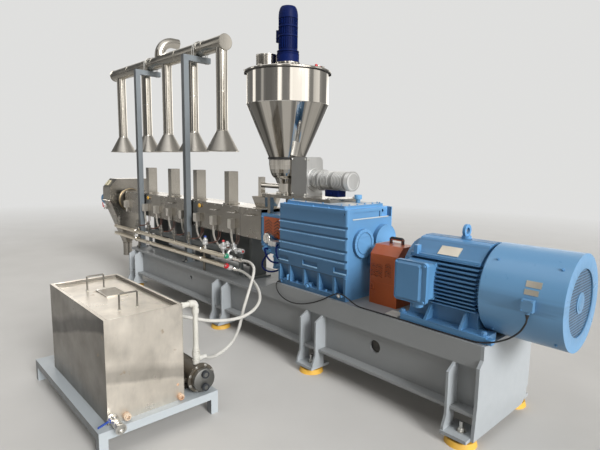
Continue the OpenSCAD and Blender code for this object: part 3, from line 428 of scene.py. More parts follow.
def make_cord(name, route, diameter, slot):
    line = smoothed([place(*q) for q in route], 5)
    curve = bpy.data.curves.new(name, "CURVE")
    curve.dimensions = "3D"
    curve.bevel_depth = diameter / 2000
    curve.bevel_resolution = 3
    curve.use_fill_caps = True
    spline = curve.splines.new("POLY")
    spline.points.add(len(line) - 1)
    for point, at in zip(spline.points, line):
        point.co = (*at, 1)
    cord = bpy.data.objects.new(name + "_piece", curve)
    curve.materials.append(MATERIALS[slot])
    scene.collection.objects.link(cord)
    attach(cord, "root")
    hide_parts(name)


make_cord("supply_hose", SUPPLY_ROUTE, HOSE_D, "hose_white")
make_cord("return_hose", RETURN_ROUTE, HOSE_D, "hose_white")
make_cord("fan_cable", CABLE_ROUTE, CABLE_D, "cable_black")


# Piece building

AXES = {"x": Vector((1, 0, 0)), "y": Vector((0, 1, 0)), "z": Vector((0, 0, 1))}
DOWN, FRONT, DIE_WAY = (0, 0, -1), (0, -1, 0), (-1, 0, 0)
CREASE = math.radians(40)
PIECES = []


def directions(axis):
    """An axis, given by its letter or as a vector, with two directions square to it."""
    along = AXES[axis] if isinstance(axis, str) else Vector(axis).normalized()
    side = along.orthogonal().normalized()
    return along, side, along.cross(side)


def turns(sides):
    """Angles evenly round one full turn."""
    return [2 * math.pi * k / sides for k in range(sides)]


def tube_faces(rows, sides):
    """Faces round rows of points, closed at both ends."""
    last = (rows - 1) * sides
    walls = [(low + k, low + (k + 1) % sides, low + sides + (k + 1) % sides, low + sides + k)
             for low in range(0, last, sides) for k in range(sides)]
    return walls + [tuple(range(sides - 1, -1, -1)), tuple(last + k for k in range(sides))]


def slab_faces(n):
    """Faces of a flat outline of n points and its copy, which follows it."""
    ends = [tuple(range(n)), tuple(range(2 * n - 1, n - 1, -1))]
    return ends + [(k, n + k, n + (k + 1) % n, (k + 1) % n) for k in range(n)]


def listed(at):
    """One point or a list of points, as a list."""
    return at if isinstance(at, list) else [at]


def grid(xs, ys, zs):
    """Every point with one of the xs, ys and zs, each a number or several."""
    return list(itertools.product(*(q if hasattr(q, "__iter__") else (q,) for q in (xs, ys, zs))))


def moved(point, dx=0.0, dy=0.0, dz=0.0):
    """A point a little further along each axis."""
    x, y, z = point
    return (x + dx, y + dy, z + dz)


def arc(centre, radius, start, end, steps, plane="xz"):
    """Points on an arc in one plane, angles in degrees."""
    first, second = ("xyz".index(letter) for letter in plane)
    points = []
    for k in range(steps + 1):
        a = math.radians(start + (end - start) * k / steps)
        point = list(centre)
        point[first] += radius * math.cos(a)
        point[second] += radius * math.sin(a)
        points.append(tuple(point))
    return points


def circle(centre, radius, count, start=0.0, plane="yz"):
    """Points evenly round a circle in one plane, from a start in degrees."""
    return arc(centre, radius, start, start + 360, count, plane)[:-1]


class Piece:
    """One mesh object made of many shapes, all given in the machine's millimetres."""

    def __init__(self, name, slot, look=None, stands_for=None):
        self.name, self.slot, self.stands_for = name, slot, stands_for
        self.mesh = bmesh.new()
        self.looks = []
        self.use(look or slot)
        PIECES.append(self)

    def use(self, look):
        """Names the material of the shapes that follow."""
        if look not in self.looks:
            self.looks.append(look)
        self.index = self.looks.index(look)

    def faces(self, points, faces, smooth=False):
        verts = [self.mesh.verts.new(place(*p)) for p in points]
        made = [self.mesh.faces.new([verts[i] for i in face]) for face in faces]
        for face in made:
            face.smooth = smooth
            face.material_index = self.index
        return made

    def box(self, low, high, bevel=3):
        """A block with bevelled edges."""
        made = bmesh.ops.create_cube(self.mesh, size=1)["verts"]
        for v in made:
            v.co = place(*[(a + b) / 2 + k * (b - a) for k, a, b in zip(v.co, low, high)])
        for face in {f for v in made for f in v.link_faces}:
            face.material_index = self.index
        if bevel:
            lines = list({e for v in made for e in v.link_edges})
            bmesh.ops.bevel(self.mesh, geom=lines, offset=bevel / 1000, segments=2, affect="EDGES",
                            profile=0.6, material=-1)

    def border(self, low, high, width, bevel=1):
        """Four bars along the sides of a lying rectangle."""
        (x0, y0, z0), (x1, y1, z1) = low, high
        self.box(low, (x1, y0 + width, z1), bevel)
        self.box((x0, y1 - width, z0), high, bevel)
        self.box((x0, y0 + width, z0), (x0 + width, y1 - width, z1), bevel)
        self.box((x1 - width, y0 + width, z0), (x1, y1 - width, z1), bevel)

    def turned(self, at, axis, profile, sides=24):
        """A profile of (distance along the axis, radius) revolved about an axis, at each point."""
        along, side, other = directions(axis)
        for base in listed(at):
            points = [Vector(base) + along * reach + (side * math.cos(a) + other * math.sin(a)) * radius
                      for reach, radius in profile for a in turns(sides)]
            made = self.faces(points, tube_faces(len(profile), sides), smooth=True)
        return made

    def ring(self, at, axis, radius, thick, sides=36, rows=8):
        """A torus at each point."""
        along, side, other = directions(axis)
        faces = [(k * rows + j, (k + 1) % sides * rows + j, (k + 1) % sides * rows + (j + 1) % rows,
                  k * rows + (j + 1) % rows) for k in range(sides) for j in range(rows)]
        for centre in listed(at):
            points = []
            for a in turns(sides):
                out = side * math.cos(a) + other * math.sin(a)
                points += [Vector(centre) + out * (radius + thick * math.cos(b))
                           + along * thick * math.sin(b) for b in turns(rows)]
            self.faces(points, faces, smooth=True)

    def tube(self, points, radius, sides=10):
        """A round bar bent along points."""
        path = [Vector(p) for p in points]
        side = Vector((0.37, 0.21, 0.9))
        rings = []
        for i, p in enumerate(path):
            ahead = (path[min(i + 1, len(path) - 1)] - path[max(i - 1, 0)]).normalized()
            side = (side - ahead * side.dot(ahead)).normalized()
            other = ahead.cross(side)
            rings += [p + (side * math.cos(a) + other * math.sin(a)) * radius for a in turns(sides)]
        self.faces(rings, tube_faces(len(path), sides), smooth=True)

    def plate(self, outline, thick, normal="y"):
        """A flat outline of points, thickened along one axis."""
        shift = AXES[normal] * thick
        points = [Vector(p) for p in outline] + [Vector(p) + shift for p in outline]
        self.faces(points, slab_faces(len(outline)))

    def bolt(self, at, axis, across, head=None, washer=True):
        """A hexagon head, on a washer or without one, its seat at each point, looking along an axis."""
        head = head or across * 0.62
        r = across / 2
        for seat in listed(at):
            if washer:
                rim = [(-0.5, r * 1.45), (across * 0.12, r * 1.45), (across * 0.13, r * 1.1)]
                self.turned(seat, axis, rim, 16)
            hexagon = self.turned(seat, axis, [(across * 0.1, r), (head * 0.8, r), (head, r * 0.82)], 6)
            for face in hexagon[-8:]:
                face.smooth = False

    def finish(self):
        bmesh.ops.recalc_face_normals(self.mesh, faces=self.mesh.faces)
        mesh = bpy.data.meshes.new(self.name)
        self.mesh.to_mesh(mesh)
        self.mesh.free()
        for look in self.looks:
            mesh.materials.append(MATERIALS[look])
        mesh.set_sharp_from_angle(angle=CREASE)
        obj = bpy.data.objects.new(self.name, mesh)
        scene.collection.objects.link(obj)
        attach(obj, "root")
        if self.stands_for:
            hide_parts(self.stands_for)


# Base

LEG_XS = (177, 2148, 3435, 4705)
PAD_Y = 345
WEB_INNER, WEB_OUTER = -260, -283


def make_base_trim():
    nuts = Piece("levelling_nuts", "support_grey", "zinc")
    pads = (-PAD_Y, PAD_Y)
    nuts.bolt(grid(LEG_XS, pads, 68), "z", 40, 22)
    nuts.turned(grid(LEG_XS, pads, 88), "z", [(0, 12.9), (41, 12.9), (43, 9)], 16)
    nuts.turned(grid(LEG_XS, pads, 34), "z", [(0, 30), (10, 30), (14, 22)], 6)
    blanks = Piece("hole_membranes", "base_paint", "black_clamp")
    for x, r in ((1466, 23), (4001, 46)):
        blanks.turned((x, WEB_INNER, 350), "y", [(0, r + 9), (2, r + 9), (5, r - 4), (3, r - 8)], 32)
    welds = Piece("base_welds", "base_paint")
    for x in LEG_XS[:-1]:
        for side in (x - 91, x + 91):
            welds.tube(grid(side, WEB_OUTER, (190, 300, 440)), 5, 6)
    welds.tube(grid((20, 1400, 2680), -318, 459), 4, 6)
    trim = Piece("post_fixings", "post_paint", "zinc")
    trim.bolt(grid((8, 72, 1218, 1282), (-234, -134), 492), "z", 18)


# Gearbox

GEAR_X, GEAR_END, GEAR_FRONT, GEAR_TOP = 2961, 3722, -289, 1282
GEAR_LID = GEAR_TOP + 24
GROOVE_ZS = (884, 957, 1056, 1132)
RECESS_XS = ((2962, 3083), (3258, 3423), (3598, 3721))


def make_gearbox_trim():
    bolts = Piece("gearbox_bolts", "machine_blue")
    bolts.bolt(grid(range(GEAR_X + 45, GEAR_X + 718, 168), -265, GEAR_TOP), "z", 14)
    bolts.bolt(grid(range(3030, 3607, 192), (-228, 196), GEAR_LID), "z", 13, washer=False)
    bolts.bolt(grid((3010, 3642), range(-180, 200, 90), GEAR_LID), "z", 15, washer=False)
    bolts.bolt(grid((3026, 3176, 3343, 3508, 3645), -268, 640), "z", 22)
    bolts.bolt((3319, -285, 644), FRONT, 34, 16, washer=False)
    bolts.ring((GEAR_END + 25, -118, 1029), "x", 78, 2.2, 48, 6)
    bolts.use("ledge_dust")
    bolts.box((GEAR_END - 3, -232, 1207), (GEAR_END + 5, 190, 1215), 1)
    # Painted shade: a dark strip along the top of the foot, and dark discs in the two lug holes near the
    # top corners.
    seams = Piece("gearbox_painted_shade", "machine_blue", "seam_dark")
    seams.box((GEAR_X + 4, GEAR_FRONT - 0.6, 777.5), (GEAR_END - 24, GEAR_FRONT + 1, 780), 0)
    eyes = grid((GEAR_X + 34, GEAR_END - 34), GEAR_FRONT + 8, GEAR_TOP - 32)
    seams.turned(eyes, "y", [(0, 7.9), (6, 7.9)], 16)
    # Painted highlights: lighter lower lips of the grooves, where light catches them.
    lips = Piece("gearbox_lip_highlights", "machine_blue", "groove_lip")
    for z in GROOVE_ZS:
        slope = ((-0.6, 0), (6.4, 7), (7, 5.5), (0.5, -1))
        lips.plate([(GEAR_X + 2, GEAR_FRONT + dy, z + dz) for dy, dz in slope], GEAR_END - GEAR_X - 28, "x")
    # Painted highlights along the lower edges of the three pockets.
    for x0, x1 in RECESS_XS:
        lips.box((x0, GEAR_FRONT - 2, 805), (x1, GEAR_FRONT + 2, 814), 1)
    plug = Piece("gearbox_plugs", "stainless", "zinc")
    plug.bolt((GEAR_END - 46, GEAR_FRONT - 21, 648), FRONT, 22)
    plug.use("machine_blue")
    plug.tube([(3090, -270, 690), (3090, -300, 690), (3090, -300, 655)], 9, 10)


# Motor

MOTOR_TAIL, SHAFT_Z = 5170, 885
TAIL = (MOTOR_TAIL, 0, SHAFT_Z)
COWL_R = 276.6
# The bare plates on the fan cowl: from and to along x and z
COWL_PLATES = ((4969, 5050, 983, 1015), (4968, 5041, 943, 971))


def make_motor_trim():
    bolts = Piece("motor_bolts", "machine_blue")
    bolts.bolt(grid((4200, 4760), (-250, 250), 647), "z", 36)
    bolts.bolt(circle((4170, 0, SHAFT_Z), 222, 8, 22.5), DIE_WAY, 22)
    for x in (4780, 5120):
        for a in (48, 132, 228, 312):
            out = Vector((0, math.cos(math.radians(a)), math.sin(math.radians(a))))
            bolts.bolt(Vector((x, 0, SHAFT_Z)) + out * 274, out, 15)
    bolts.bolt(grid((4226, 4429), -378, (788, 1012)), FRONT, 15, washer=False)
    bolts.bolt(grid((4976, 5026), -307, (864, 916)), FRONT, 8, washer=False)
    bolts.box((4786, -288, 608), (4822, -240, 640), 5)
    rim = Piece("cowl_rim", "light_blue")
    rim.ring(moved(TAIL, -5), "x", 270, 4.6, 64, 8)
    rim.ring(moved(TAIL, -4), "x", 194, 3.6, 56, 8)
    rim.ring((4740, 0, SHAFT_Z), "x", 273.5, 1.4, 64, 6)
    grille = Piece("fan_grille", "light_blue", "fan_mesh")
    grille.turned(moved(TAIL, -13), "x", [(0, 191), (5, 191)], 64)
    hub = Piece("fan_hub", "light_blue")
    hub.turned(moved(TAIL, -9), "x", [(0, 46), (4, 46), (6.5, 43), (8.5, 36)], 40)
    hub.bolt(circle(moved(TAIL, -1.5), 24, 6), "x", 9, 1.4, washer=False)
    make_bare_plates()


def make_bare_plates():
    plates = Piece("bare_plates", "stainless", "plate_alloy")
    slope = Vector((0, 83, 66)).normalized()
    out = Vector((0, -66, 83)).normalized()
    length = Vector((140, 0, 0))
    corner = Vector((4396, -190, 1061)) + out * 4
    quad = [corner, corner + length, corner + length + slope * 74, corner + slope * 74]
    plates.faces([*quad, *[q - out * 6 for q in quad]], slab_faces(4))
    for x0, x1, z0, z1 in COWL_PLATES:
        heights = [z0 + (z1 - z0) * k / 4 for k in range(5)]
        rows = [(-math.sqrt(COWL_R ** 2 - (z - SHAFT_Z) ** 2), z) for z in heights]
        front = [(x0, y, z) for y, z in rows] + [(x1, y, z) for y, z in reversed(rows)]
        plates.plate(front, 3)
    note = Piece("cover_plate", "white_pipe")
    note.plate([(4072, -270, 605.5), (4066, -180, 605.5), (4160, -176, 605.5), (4176, -282, 605.5)], 5, "z")
    note.turned((4098, -232, 606), "z", [(0, 9), (6, 9), (6.5, 6)], 16)


def zigzags(piece, rows, start, step, teeth, height, thick):
    """Rows of zigzag strips, one above another, from the lowest row's start; in black they are painted
    shade in louvre slots.
    """
    for k in range(rows):
        low = [moved(start, i * step, 0, k * 27 + i % 2 * 28) for i in range(2 * teeth + 1)]
        for a, b in zip(low, low[1:]):
            piece.plate([a, b, moved(b, dz=height), moved(a, dz=height)], thick)


def make_guard_trim():
    slots = Piece("guard_louvre_shade_and_trim", "guard_orange", "cable_black")
    # Painted shade: black zigzag strips in the louvre slots of the coupling guard and the lantern.
    zigzags(slots, 4, (3828, -131.2, 805), 26, 2, 9, 1)
    zigzags(slots, 4, (3956, -131.2, 817), 26, 1, 9, 1)
    for x in (2612, 2742):
        zigzags(slots, 5, (x, -161.7, 960), 52, 1, 8, 1.1)
    slots.use("guard_orange")
    slots.box((3866, -136.2, 766), (4050, -134, 769), 0)
    slots.tube([(3842, -135, 706), (3842, -146, 712), *arc((3853, -146, 744), 11, 180, 0, 6),
                (3864, -146, 712), (3864, -135, 706)], 4, 8)
    handle = Piece("guard_handle", "guard_orange", "cable_black")
    handle.tube([(3885, 20, 1036), (3885, 20, 1064), *arc((3897, 20, 1064), 12, 180, 90, 4),
                 *arc((3977, 20, 1064), 12, 90, 0, 4), (3989, 20, 1064), (3989, 20, 1036)], 11.5, 12)


# Barrel, cover and wiring

COVER_TOP, COVER_FRONT = 1180, -143
COVER_FACE = COVER_FRONT - 0.7
PLUG_XS = (-500, 88, 417, 749, 1066, 1391, 1727, 2059)


def make_cover_trim():
    handles = Piece("cover_handles", "stainless", "bright_steel")
    for x in (807, 1749, 2078, 2377):
        corners = [arc((x + dx, -173, 1115), 8, a, a + 90, 3, "xy") for dx, a in ((-44, 180), (44, 270))]
        foot, other = (x - 52, -155, 1115), (x + 52, -155, 1115)
        handles.tube([foot, moved(foot, dy=-18), *corners[0], *corners[1], other], 5, 10)
    caps = Piece("yellow_caps", "pad_yellow")
    caps.turned(grid((186, 1458), -153, 1134), FRONT, [(0, 22), (8, 22), (12, 17), (12.5, 8), (9, 7)], 28)
    joints = Piece("cover_joints", "stainless", "seam_dark")
    for x in (-50, 520, 1160, 1800, 2200):
        joints.box((x - 1, COVER_FACE, 896), (x + 1, COVER_FRONT + 1, 1178), 0)
    for x, z in ((871, 927), (1503, 899), (2100, 895)):
        joints.box((x - 120, COVER_FACE, z), (x + 120, COVER_FRONT + 1, z + 2), 0)
    screws = Piece("cover_screws", "stainless", "zinc")
    rows = grid(range(-520, 2463, 142), COVER_FRONT, (1166, 906))
    screws.turned(rows, FRONT, [(0, 6), (3, 5.5), (4, 3)], 10)
    collars = Piece("duct_collars", "duct_steel")
    for x in (50, 665, 1265, 1895):
        for x0, x1, y0, y1 in ((-52, 52, -105, -93), (-52, 52, 23, 35),
                               (-52, -41, -96, 26), (41, 52, -96, 26)):
            collars.box((x + x0, y0, COVER_TOP), (x + x1, y1, COVER_TOP + 10), 2)
    lids = Piece("plug_covers", "stainless", "plug_case")
    for x in PLUG_XS:
        lids.box((x - 3, -198, 962), (x + 55, -192, 1044), 2)
        lids.turned(grid(x + 12, -197, (972, 1034)), FRONT, [(0, 4), (3, 3)], 8)


def make_conduits():
    bends = Piece("plug_conduits", "stainless", "conduit_grey")
    for x in PLUG_XS[1:]:
        start = Vector((x + 26, -169, 903))
        line = [start + Vector((95 * t ** 3, 26 * t * t, -176 * t)) for t in (k / 14 for k in range(15))]
        bends.tube(line, 10.5, 12)
        for k in range(1, 14, 2):
            bends.ring(line[k], line[k + 1] - line[k - 1], 10.4, 1.6, 14, 6)
        bends.turned(start + Vector((0, 0, 2)), DOWN, [(0, 14), (20, 14), (24, 11.5)], 8)


TRUNK_FRONT, TRUNK_BACK = 150, 196


def make_trays():
    tray = Piece("wiring_tray", "support_grey")
    tray.box((110, -172, 690), (2200, -118, 738), 4)
    for x in (190, 1230, 2200):
        tray.box((x - 20, -150, 497), (x + 20, -120, 692), 3)
    trunk = Piece("rear_trunking", "support_grey")
    trunk.box((-300, TRUNK_FRONT, 512), (2020, TRUNK_BACK, 846), 5)
    for x in range(-296, 2000, 331):
        for z0, z1 in ((508, 522), (838, 850)):
            trunk.box((x, TRUNK_FRONT - 3, z0), (x + 324, TRUNK_BACK + 3, z1), 2)
    for x in (120, 720, 1320, 1920):
        trunk.box((x - 20, 158, 497), (x + 20, 190, 516), 2)
        for y0, y1 in ((146, 174), (174, 202)):
            trunk.box((x - 26, y0, 497), (x + 26, y1, 503), 2)
        trunk.bolt(grid(x, (154, 194), 503), "z", 14)


# Water pipes and their valves

PIPE_Y, PIPE_ZS = -300, (702, 605)
VALVE_X = 2235
KNOB_WAY = (0.15, -1, 0.55)
COILS = {1727: "blue_grip", 2059: "red_grip"}
VALVE_BODY = [(0, 24), (4, 27), (26, 27), (28, 22), (44, 22), (46, 28), (66, 28), (68, 20)]
BYPASS_WIRES = (
    [(2098, -246, 806), (2110, -275, 790), (2150, -290, 760), (2190, -285, 735), (2225, -262, 742)],
    [(2206, -246, 806), (2240, -280, 800), (2290, -285, 770), (2330, -262, 742)],
)
BYPASS_BODY = [
    (0, 12), (8, 13), (11, 23), (58, 23), (61, 15), (108, 15), (111, 27), (166, 27), (169, 15), (212, 15),
    (216, 28), (276, 28), (279, 16), (328, 16), (331, 25), (396, 25), (399, 11),
]


def make_manifold_trim():
    caps = Piece("manifold_caps", "stainless", "bright_steel")
    caps.turned(grid(-546, PIPE_Y, PIPE_ZS), DIE_WAY, [(0, 23), (1, 23), (6, 20), (9, 12), (10, 2)])
    caps.ring(grid((140, 1740), PIPE_Y, PIPE_ZS), "x", 27, 4, 28, 8)
    caps.turned(grid((557, 1177), PIPE_Y, PIPE_ZS), "x", [(0, 24.2), (6, 24.2)])
    make_valves()
    make_bypass()
    tips = Piece("coil_tips", "cable_black", "dark_fittings")
    for x in PLUG_XS:
        tips.use(COILS.get(x, "dark_fittings"))
        tips.turned((x + 80, PIPE_Y, 844), "z", [(-2, 14), (10, 14), (14, 10), (15, 4)], 16)
    for z, colour in zip(PIPE_ZS, ("green_grip", "red_grip")):
        wheel = Piece("valve_wheel_%d" % z, "white_pipe", colour)
        seat = Vector((VALVE_X, PIPE_Y, z)) + Vector(KNOB_WAY).normalized() * 29
        wheel.turned(seat, KNOB_WAY, [(0, 21), (3, 26), (15, 26.5), (19, 22), (20, 11)])
        wheel.use("cast_alloy")
        wheel.turned(seat, KNOB_WAY, [(18, 9), (22, 9), (23, 6)], 16)
    fittings = Piece("hose_fittings", "hose_white", "bright_steel")
    for at, way, sizes in (
        ((2326, PIPE_Y, 702), "x", [(0, 16), (3, 19), (24, 19), (27, 15.5), (78, 15.5), (80, 13.5)]),
        ((2408, PIPE_Y, 702.5), (80, -2, 8),
         [(0, 17), (3, 18.5), (44, 18.5), (47, 15), (70, 15), (72, 13.2)]),
        ((2326, PIPE_Y, 605), "x",
         [(0, 17), (3, 22), (22, 22), (25, 17), (52, 17), (54, 19), (72, 19), (74, 14)]),
    ):
        fittings.turned(at, way, sizes, 12)
    drops = Piece("water_branches", "stainless", "copper_lines")
    for x in PLUG_XS[1:]:
        for dx, low in ((92, 784), (128, 790)):
            line = [(x + 84, -284, low), (x + 88, -240, low - 8), (x + dx - 4, -190, low + 4),
                    (x + dx, -158, low + 40), (x + dx, -150, 850), (x + dx, -150, 896)]
            drops.tube(smoothed(line, 4), 4.5, 8)


def make_valves():
    valves = Piece("valve_set", "stainless", "cast_alloy", "water_valves")
    valves.turned(grid(2206, PIPE_Y, PIPE_ZS), "x", VALVE_BODY, 8)
    valves.turned(grid(2272, PIPE_Y, PIPE_ZS), "x", [(0, 20), (14, 20), (16, 14), (57, 13)], 8)
    valves.turned(grid(VALVE_X, PIPE_Y, PIPE_ZS), KNOB_WAY, [(10, 14), (24, 14), (26, 10), (30, 10)], 16)
    for x in PLUG_XS:
        valves.use("cast_alloy" if x in COILS else "dark_fittings")
        valves.turned((x + 80, PIPE_Y, 722), "z", [(0, 13), (12, 13), (13, 10), (45, 10)], 12)
        valves.box((x + 57, -319, 766), (x + 103, -281, 796), 4)
        valves.turned((x + 80, -316, 781), FRONT, [(-2, 13), (10, 13), (12, 9)], 12)
        valves.box((x + 60, -317, 796), (x + 100, -283, 826), 5)
        valves.turned((x + 80, PIPE_Y, 824), "z", [(0, 13), (18, 13), (20, 11)], 16)


def make_bypass():
    bypass = Piece("bypass_valves", "stainless", "cast_alloy")
    bypass.turned((1960, -225, 768), "x", BYPASS_BODY, 8)
    for x in (2098, 2206):
        bypass.box((x - 23, -246, 792), (x + 23, -206, 818), 4)
        bypass.turned((x, -226, 816), "z", [(0, 14), (16, 14), (18, 10)], 14)
    bypass.turned((2323, -240, 768), FRONT, [(0, 14), (26, 14), (28, 20), (44, 20), (46, 12)], 12)
    bypass.box((1996, -236, 716), (2016, -160, 750), 3)
    bypass.tube([(2222, PIPE_Y, 716), (2222, PIPE_Y, 748), (2222, -280, 764), (2222, -240, 768)], 12, 12)
    bypass.use("black_clamp")
    for wire in BYPASS_WIRES:
        bypass.tube(smoothed(wire, 5), 3.5, 8)
    bypass.use("red_grip")
    bypass.turned((2358, -225, 768), "x", [(0, 11), (4, 11), (6, 8)], 14)


# Pellet hood

HOOD_X0, HOOD_X1 = -1000, -740
SCREW_Z = 1037


def make_sight_window():
    """A cream frame and a dark pane on the slanting front of the hood."""
    window = Piece("sight_window", "white_pipe", "cream_frame")
    low, high = Vector((HOOD_X0, -290, 1220)), Vector((HOOD_X0, -185, 1340))
    up = (high - low).normalized()
    out = Vector((0, -up.z, up.y))
    middle = (low + high) / 2 + Vector((70, 0, 0)) + out
    corners = []
    for reach, lift in ((48, 0), (48, 9), (26, 9), (26, 2)):
        corners += [middle + AXES["x"] * reach * sx + up * reach * 0.9 * sy + out * lift
                    for sx, sy in ((-1, -1), (1, -1), (1, 1), (-1, 1))]
    window.faces(corners, tube_faces(4, 4)[:-2])
    window.use("dark_window")
    window.faces(corners[12:], [(0, 1, 2, 3)])


def make_hood_trim():
    make_sight_window()
    ring = Piece("die_ring", "dark_steel", "brass")
    ring.turned((-742, 0, SCREW_Z), "x", [(0, 165), (14, 165), (16, 158), (16, 150)], 56)
    collar = Piece("die_collar", "dark_steel")
    collar.turned((-728, 0, SCREW_Z), "x", [(0, 156), (30, 156), (34, 148)], 48)
    collar.bolt(circle((-694, 0, SCREW_Z), 128, 12, 15), "x", 22)
    seams = Piece("hood_flanges", "stainless")
    for y0, y1, x0, x1, z0, z1 in ((-298, -286, HOOD_X0 - 4, HOOD_X1 + 4, 1024, 1046),
                                   (286, 298, HOOD_X0 - 4, HOOD_X1 + 4, 1024, 1046),
                                   (-290, -250, HOOD_X0 - 7, HOOD_X0 + 1, 1044, 1200),
                                   (250, 290, HOOD_X0 - 7, HOOD_X0 + 1, 1044, 1200)):
        seams.box((x0, y0, z0), (x1, y1, z1), 2)
    seams.turned((-900, 0, 386), DOWN, [(0, 70), (10, 70), (12, 64)], 32)
    seams.turned((-900, 0, 214), DOWN, [(0, 66), (10, 66), (12, 63.5)], 32)
    seams.bolt(grid(range(HOOD_X0 + 20, HOOD_X1 + 1, 44), -298, 1035), FRONT, 12)
    latch = Piece("hood_latch", "stainless", "zinc")
    latch.box((-960, -306, 900), (-925, -262, 960), 3)
    latch.turned((-942, -290, 930), FRONT, [(0, 12), (18, 12), (20, 9)], 14)
    latch.use("red_grip")
    latch.tube([(-942, -300, 930), (-936, -322, 940), (-925, -330, 975), (-918, -332, 1000)], 7, 10)
    motor = Piece("cutter_motor_fins", "machine_blue")
    for a in turns(12):
        out, over = Vector((0, math.cos(a), math.sin(a))), Vector((0, -math.sin(a), math.cos(a)))
        axis = Vector((-1180, -170, SCREW_Z))
        fin = [axis + out * 84 + over * 3, axis + out * 93, axis + out * 84 - over * 3]
        motor.plate(fin, 114, "x")


# Fume exhaust

DROP_XS = (-911, -100, 477, 1090, 1682)
HEADER_Z = 2821


def make_exhaust_trim():
    rims = Piece("exhaust_rims", "duct_steel")
    rims.ring(grid(DROP_XS, 0, 1722), "z", 174, 3.6, 56, 8)
    for z, profile in ((1930, [(0, 62), (10, 62), (12, 60.5)]), (2736, [(0, 62.5), (14, 62.5), (15, 61)]),
                       (2330, [(0, 60.8), (3, 61.6), (6, 60.8)])):
        rims.turned(grid(DROP_XS, 0, z), "z", profile, 40)
    rims.turned(grid((-560, 180, 780, 1380), 0, HEADER_Z), "x", [(0, 77.6), (3, 79), (6, 77.6)], 48)
    for x, way in ((-1110, DIE_WAY), (1756, "x")):
        rims.turned((x, 0, HEADER_Z), way, [(-10, 78), (0, 78), (3, 76), (3.5, 40)], 48)
    clamps = Piece("header_clamps", "post_paint", "zinc")
    for x in (22, 58, 1232, 1268):
        over = arc((x, 0, HEADER_Z), 83, 180, 0, 14, "yz")[1:]
        clamps.tube([(x, -86, 2700), (x, -86, 2800), *over, (x, 86, 2700)], 5, 8)
        clamps.bolt(grid(x, (-86, 86), 2686), DOWN, 14, 8)


# Feeder

HOPPER_X = 2725
DRUM_R = 363.4
FEEDER_Z = 1475
FIN_XS = (3140, 3156, *range(3230, 3295, 16), *range(3350, 3447, 16))


def above(z, x=HOPPER_X):
    """A point on the hopper's axis."""
    return (x, 0, z)


def make_hopper_trim():
    clamp = Piece("hopper_clamps", "cable_black", "black_clamp")
    clamp.turned(above(1641), "z", [(0, 166), (4, 171), (16, 171), (20, 166)], 56)
    clamp.turned(above(2378), "z", [(0, 364), (1, 376), (3, 380), (6, 380), (7, 366)], 72)
    for a in (-128, 46):
        x, y, z = arc(above(2370), 379 * 0.985, a, a, 1, "xy")[0]
        clamp.box((x - 7, y - 7, z), (x + 7, y + 7, z + 26), 3)
    seam = Piece("hopper_seams", "polished_steel")
    seam.turned(above(2112), "z", [(0, DRUM_R - 2.4), (3, DRUM_R), (6, DRUM_R - 2.4)], 72)
    seam.ring(above(2397), "z", 374, 4, 72, 8)
    seam.turned(above(2475), "z", [(-12, 112), (-2, 112), (-1, 104)], 40)
    seam.turned((2535, -85, 2542), "z", [(0, 96), (10, 98), (15.5, 96)], 40)
    seam.turned(above(2386), "z", [(0, 378), (2, 381), (9, 381), (11.5, 378)], 72)
    for x, y, z in circle(above(2397), 366, 8, 10, "xy"):
        seam.box((x - 14, y - 14, z), (x + 14, y + 14, z + 15), 3)
    knob = Piece("lid_knob", "pad_yellow", "red_grip")
    knob.turned((3050, 30, 2396), "z", [(0, 7), (14, 7), (16, 12), (26, 13.5), (32, 10), (35, 4)], 20)
    bowl = Piece("feeder_bowl_trim", "polished_steel")
    bowl.turned(above(1470), "z", [(0, 110), (6, 114), (12, 112)], 48)
    bowl.turned(above(1333), "z", [(0, 96), (12, 96), (14, 76)], 40)
    bowl.bolt(circle(above(1347), 86, 8, 0, "xy"), "z", 12)
    bowl.turned((2645, -96, 1560), (-0.4, -0.9, 0), [(-40, 26), (20, 26), (24, 20)])
    bowl.turned((2760, -118, 1530), (0.3, -0.95, 0), [(-40, 34), (14, 34), (18, 28)])


def make_feeder_trim():
    case = Piece("drive_case_bolts", "stainless", "zinc")
    case.bolt([(3087, -80, 1350), (3087, -80, 1640), (3087, 80, 1350)], "x", 14)
    case.bolt(grid((2912, 3070), -95, (1350, 1645)), FRONT, 14)
    case.bolt(grid((2620, 2860, 3120, 3400), (-150, 150), 1333), "z", 18)
    motor = Piece("feeder_motor_trim", "stainless", "cast_alloy")
    motor.turned(above(FEEDER_Z, 3092), "x", [(0, 96), (12, 96), (14, 90)], 40)
    motor.turned(grid(FIN_XS, 0, FEEDER_Z), "x", [(0, 78), (5, 78)], 40)
    motor.turned(above(FEEDER_Z, 3481), "x", [(0, 79), (32, 79), (36, 76), (38, 60), (36, 58)], 40)
    terminal = Piece("feeder_motor_box", "machine_blue", "motor_navy")
    terminal.box((3256, -50, 1345), (3400, 50, 1402), 8)
    terminal.turned((3328, -50, 1372), FRONT, [(0, 10), (12, 10), (14, 7)], 12)


